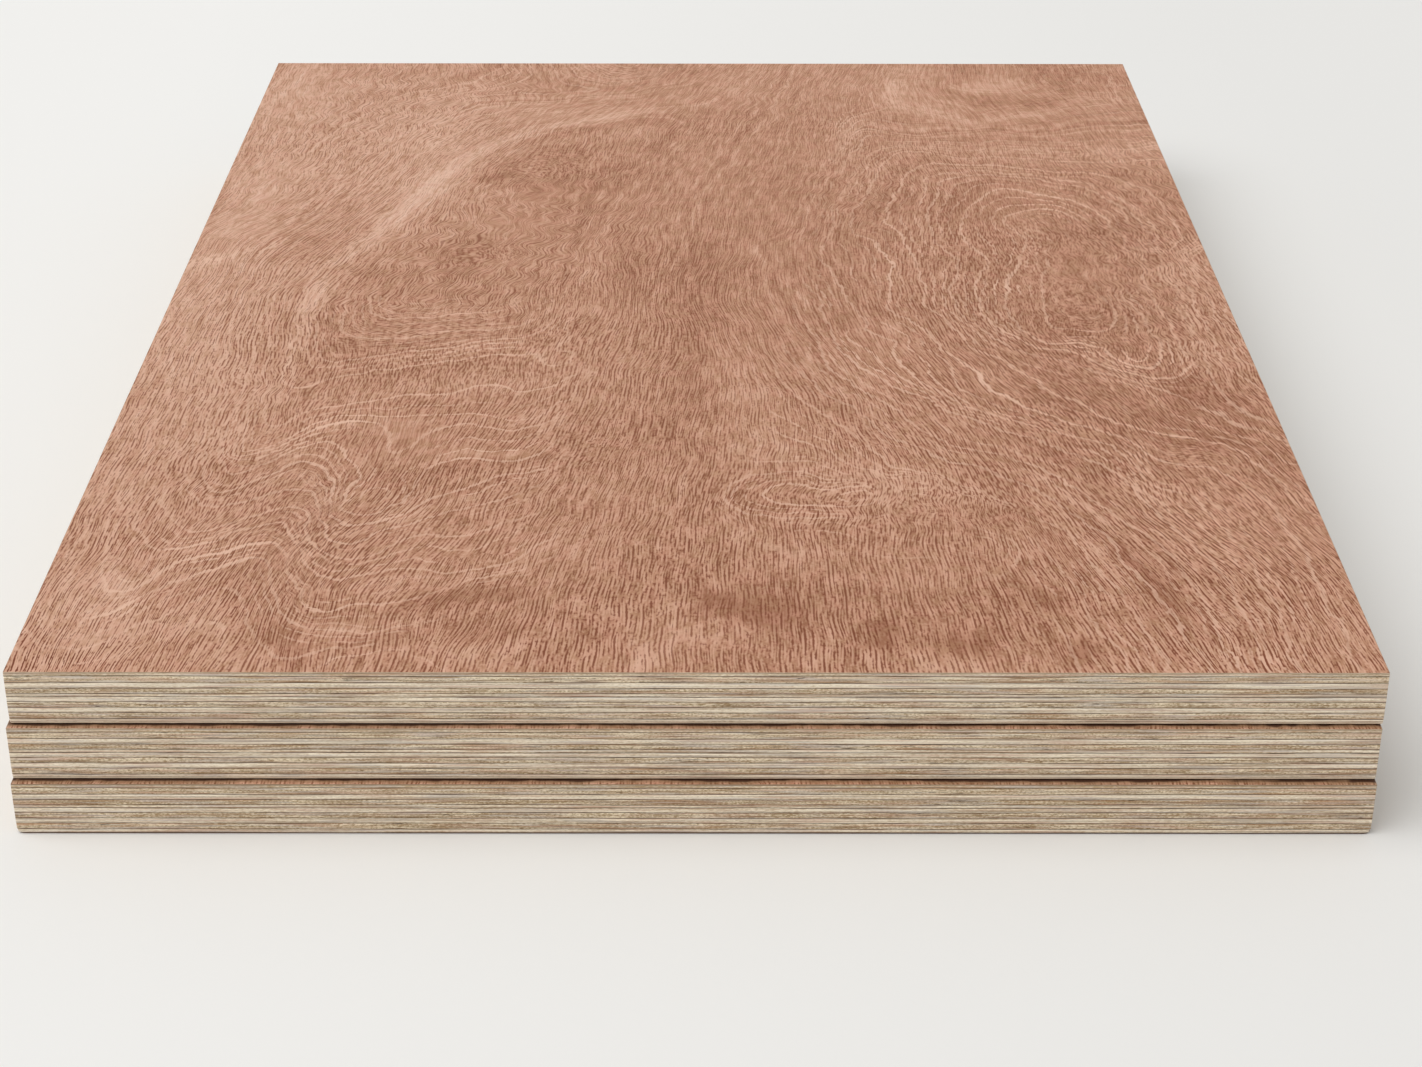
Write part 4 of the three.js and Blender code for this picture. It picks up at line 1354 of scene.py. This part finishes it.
def end_grain_finish(name, axis):
    """A ply cut across its fibres: duller and grainy, with a darker middle, thin broken lines
    where the knife checked it, brown stretches and a few short cracks."""
    material, t = new_material(name)
    edge = SawnEdge(t, axis)
    grains = edge.noise(END_GRAINS)
    off_middle = t.math("ABSOLUTE", t.math("SUBTRACT", edge.up, edge.down))
    tone = t.total(
        t.times(t.attribute("ply_pale"), PLY_TONE),
        t.swing(edge.noise(END_STREAKS), EDGE_STREAK_TONE),
        t.swing(grains, END_GRAINS_TONE, 0.2),
        t.spread(off_middle, *MIDDLE_REACH), END_GRAIN_MIDDLE)
    colour = edge.tinted(t.mix(tone, END_GRAIN_DARK, END_GRAIN_PALE))
    lines = t.spread(edge.noise(BROKEN_LINES), *BROKEN_LINE_MASK)
    colour = t.mix(lines, colour, THIN_LINE)
    checked = t.spread(edge.noise(CHECKED_STRETCHES), *CHECKED_MASK)
    cracks = t.times(t.spread(edge.noise(SHORT_CRACKS), *CRACK_MASK), checked)
    colour = edge.glued(t.mix(t.times(cracks, CRACK_STRENGTH), colour, CRACK))
    rough = t.spread(grains, *END_GRAIN_ROUGHNESS)
    relief = t.math("MULTIPLY_ADD", cracks, CRACK_RELIEF, grains)
    return finish_of(colour, rough, relief, END_GRAIN_BUMP, t, material)


def face_edge_finish(name, axis):
    """The thin edge of a face or back veneer. Where it stands on the floor its foot is darkened with
    painted shade.
    """
    material, t = new_material(name)
    edge = SawnEdge(t, axis)
    streaks = edge.noise(THIN_STREAKS)
    tone = t.total(t.spread(streaks, *THIN_STREAK_TONE), t.times(t.attribute("ply_pale"), THIN_EDGE_TONE))
    colour = t.mix(tone, FACE_EDGE, FACE_EDGE_PALE)
    # Painted shade: the bottom panel's foot darkened where it stands on the floor
    foot_shade = t.times(t.spread(edge.up, *FOOT_SHADE_REACH), t.attribute("foot_shaded"))
    colour = t.mix(t.times(foot_shade, FOOT_SHADE_STRENGTH), colour, PAINTED_SHADE)
    rough = t.spread(streaks, *FACE_EDGE_ROUGHNESS)
    return finish_of(colour, rough, edge.noise(THIN_GRAINS), FACE_EDGE_BUMP, t, material)


def on_both_sides(finish, name):
    """A finish for the edges that run across, on the front and back, and for the side edges."""
    return finish(f"{name}_front", 0), finish(f"{name}_side", 1)


hardwood_face = face_finish("figured_hardwood")
glued_face = hidden_finish()
long_grain = on_both_sides(long_grain_finish, "core_long_grain")
end_grain = on_both_sides(end_grain_finish, "core_end_grain")
EDGES = {
    "face": on_both_sides(face_edge_finish, "face_veneer_edge"),
    "across": (long_grain[0], end_grain[1]),
    "along": (end_grain[0], long_grain[1]),
}


# ---------------------------------------------------------------- the stack
# Seeds: each panel's is a step past the one above, and the reliefs' are set off from the waves'
SEED_STEP = 100
RELIEF_SEED = 50
# What a panel's seed and a veneer's number add to the place at which its edge noises are read
PLY_SEED_SHARES = (0.37, 5.1)


def boundaries_of(sheet):
    """Levels of a panel's veneer boundaries from its upper face down. Between two veneers it is
    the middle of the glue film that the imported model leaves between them."""
    tops = [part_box(f"{sheet}_{veneer[0]}")[1].z for veneer in LAYUP]
    bottoms = [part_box(f"{sheet}_{veneer[0]}")[0].z for veneer in LAYUP]
    between = [(above + below) / 2 for above, below in zip(bottoms[:-1], tops[1:])]
    return [tops[0], *between, bottoms[-1]]


def beyond_cover(points, sheet):
    """How far each point lies outside the panel above, in metres: the larger of |x - cx| - hx
    and |y - cy| - hy. Nothing lies on the top sheet, so there it is a whole metre."""
    number = SHEETS.index(sheet)
    if number == 0:
        return np.full(len(points), 1.0)
    low, high = (np.array(corner[:2]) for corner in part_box(f"{SHEETS[number - 1]}_back_veneer"))
    outside = np.abs(points[:, :2] - (low + high) / 2) - (high - low) / 2
    return outside.max(1)


def build_veneer(sheet, index, levels, seed):
    """Makes one veneer in place of its node, with its figure and its materials. Its boundaries
    are the glue lines' middles, half a hair line off, and on a panel's faces its own levels."""
    name, grain, pale, brown = LAYUP[index]
    pale -= LOWER_PANELS_DARKER[sheet]
    node = f"{sheet}_{name}"
    low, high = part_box(node)
    wear = CORNER_WEAR.get(name, 0.0)
    radius = SAWN_CORNER + (WORN_CORNER[sheet] - SAWN_CORNER) * wear
    is_face, is_back = index == 0, index == len(LAYUP) - 1
    is_top = is_face and sheet == SHEETS[0]
    is_underside = is_back and sheet == SHEETS[-1]
    cells = FINE_CELLS if is_top else PLAIN_CELLS
    hidden = HIDDEN_SPAN[cells]
    spans = (FIGURE_SPAN if is_top else hidden, UNDERSIDE_SPAN if is_underside else hidden)
    upper = (levels[index] - GLUE_GAP / 2, CORE_ARRIS, seed + index)
    lower = (levels[index + 1] + GLUE_GAP / 2, CORE_ARRIS, seed + index + 1)
    if is_face:
        upper = (levels[index], FACE_ARRIS, None)
    if is_back:
        lower = (levels[index + 1], FOOT_ARRIS if is_underside else BACK_ARRIS, None)
    veneer = Veneer(low, high, radius, cells, spans, upper, lower, seed + RELIEF_SEED + index)
    piece_name = f"{node}_sawn"
    caps = (FIGURED if is_face else HIDDEN, FIGURED if is_back else HIDDEN)
    mesh = veneer.to_mesh(piece_name, caps)
    veneer.add_values(mesh, GLUE_SHOWN[index], GLUE_SHOWN[index + 1])
    add_value(mesh, "ply_seed", np.dot((seed, index), PLY_SEED_SHARES))
    add_value(mesh, "ply_pale", pale)
    add_value(mesh, "ply_brown", brown)
    add_value(mesh, "foot_shaded", float(is_underside))
    if is_face or is_back:
        if is_top:
            fields = figure_fields(growth_from_lines(), LEANS, FIGURED_FACE, FIGURE_SEED)
        else:
            fields = figure_fields(growth_of_plain_face(seed + index), PLAIN_LEANS, PLAIN_FACE, seed)
        put_figure(mesh, fields, (low.x + high.x) / 2, low.y)
        add_value(mesh, "past_cover", beyond_cover(veneer.points, sheet))
    front_edge, side_edge = EDGES[grain]
    for material in (hardwood_face, glued_face, front_edge, side_edge):
        mesh.materials.append(material)
    piece = bpy.data.objects.new(piece_name, mesh)
    bpy.context.scene.collection.objects.link(piece)
    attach(piece, "root")
    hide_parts(node)


for number, sheet_name in enumerate(SHEETS, 1):
    sheet_levels = boundaries_of(sheet_name)
    for veneer_index in range(len(LAYUP)):
        build_veneer(sheet_name, veneer_index, sheet_levels, SEED_STEP * number)


# ---------------------------------------------------------------- floor, light and camera
# The floor's two colours: the left one, on the lamp's side, is paler as painted light
FLOOR_LEFT = srgb(242, 241, 238)
FLOOR_RIGHT = srgb(232, 231, 228)
FLOOR_SIZE = 12.0
FLOOR_LINES = 9
FLOOR_BLEND = 0.3           # how far to the left and right of the middle the floor's colours blend
FLOOR_CLOUD_SCALE = 1.5
FLOOR_UNEVENNESS = 0.04
FLOOR_DROP = 0.2 * MM       # air that the slightly bowed bottom panel leaves under its edges


def pale_floor():
    """A plain floor just under the stack, with painted light: a little paler on the side of the lamp."""
    half = FLOOR_SIZE / 2
    steps = np.linspace(-half, half, FLOOR_LINES)
    x, y = np.meshgrid(steps, steps)
    mesh = bpy.data.meshes.new("floor")
    points = np.column_stack([x.ravel(), y.ravel(), np.full(x.size, -FLOOR_DROP)])
    mesh.from_pydata(points.tolist(), [], grid_faces(FLOOR_LINES, FLOOR_LINES, 0).tolist())
    material, t = new_material("pale_floor")
    unevenness = t.swing(t.noise(t.place(), FLOOR_CLOUD_SCALE), FLOOR_UNEVENNESS, 0.2)
    across = t.total(t.separate(t.place())[0], unevenness)
    colour = t.mix(t.spread(across, -FLOOR_BLEND, FLOOR_BLEND), FLOOR_LEFT, FLOOR_RIGHT)
    rough = t.spread(unevenness, -FLOOR_UNEVENNESS, FLOOR_UNEVENNESS, 0.75, 0.85)
    finish_of(colour, rough, None, 0.0, t, material)
    mesh.materials.append(material)
    floor = bpy.data.objects.new("floor", mesh)
    bpy.context.scene.collection.objects.link(floor)


# Seen on the floor, the shadows fall to the right and a little to the back
KEY_DIRECTION = Vector((0.52, 0.15, -0.841))
KEY_STRENGTH = 1.63
KEY_SPREAD = math.radians(56)
FILL_STRENGTH = 0.565
FILL_COLOUR = srgb(255, 255, 255)
BACKDROP_COLOUR = srgb(238, 237, 233)


def studio_light():
    """One broad key light from the left, and an even white fill that the camera sees as a pale
    backdrop."""
    lamp = bpy.data.lights.new("key", "SUN")
    lamp.energy = KEY_STRENGTH
    lamp.angle = KEY_SPREAD
    key = bpy.data.objects.new("key", lamp)
    key.rotation_euler = KEY_DIRECTION.to_track_quat("-Z", "Y").to_euler()
    bpy.context.scene.collection.objects.link(key)
    world = bpy.data.worlds.new("studio")
    world.use_nodes = True
    world.node_tree.nodes.clear()
    t = Tree(world.node_tree)
    fill = t.add("Background", {"Color": FILL_COLOUR, "Strength": FILL_STRENGTH})
    seen = t.add("Background", {"Color": BACKDROP_COLOUR, "Strength": 1.0})
    camera_ray = t.add("LightPath").outputs["Is Camera Ray"]
    mixed = t.add("MixShader", {0: camera_ray, 1: fill.outputs[0], 2: seen.outputs[0]})
    t.add("OutputWorld", {"Surface": mixed.outputs[0]})
    bpy.context.scene.world = world


CAMERA_PLACE = Vector((3.11, -998.17, 471.55)) * MM
CAMERA_PITCH = math.radians(62.320)     # from straight down
CAMERA_YAW = -0.002185                  # radians, like the roll
CAMERA_ROLL = 0.001841
LENS_MM = 68.344
SENSOR_MM = 36.0
NEAREST_SEEN = 0.05
FARTHEST_SEEN = 50.0


def studio_camera():
    """Looks down on the stack from the middle of its front."""
    camera = bpy.data.cameras.new("camera")
    camera.lens = LENS_MM
    camera.sensor_width = SENSOR_MM
    camera.sensor_fit = "HORIZONTAL"
    camera.clip_start = NEAREST_SEEN
    camera.clip_end = FARTHEST_SEEN
    view = bpy.data.objects.new("camera", camera)
    turned = (Matrix.Rotation(CAMERA_YAW, 4, "Z") @ Matrix.Rotation(CAMERA_PITCH, 4, "X")
              @ Matrix.Rotation(CAMERA_ROLL, 4, "Z"))
    view.matrix_world = Matrix.Translation(CAMERA_PLACE) @ turned
    bpy.context.scene.collection.objects.link(view)
    bpy.context.scene.camera = view


pale_floor()
studio_light()
studio_camera()
bpy.context.scene.view_settings.view_transform = "Standard"
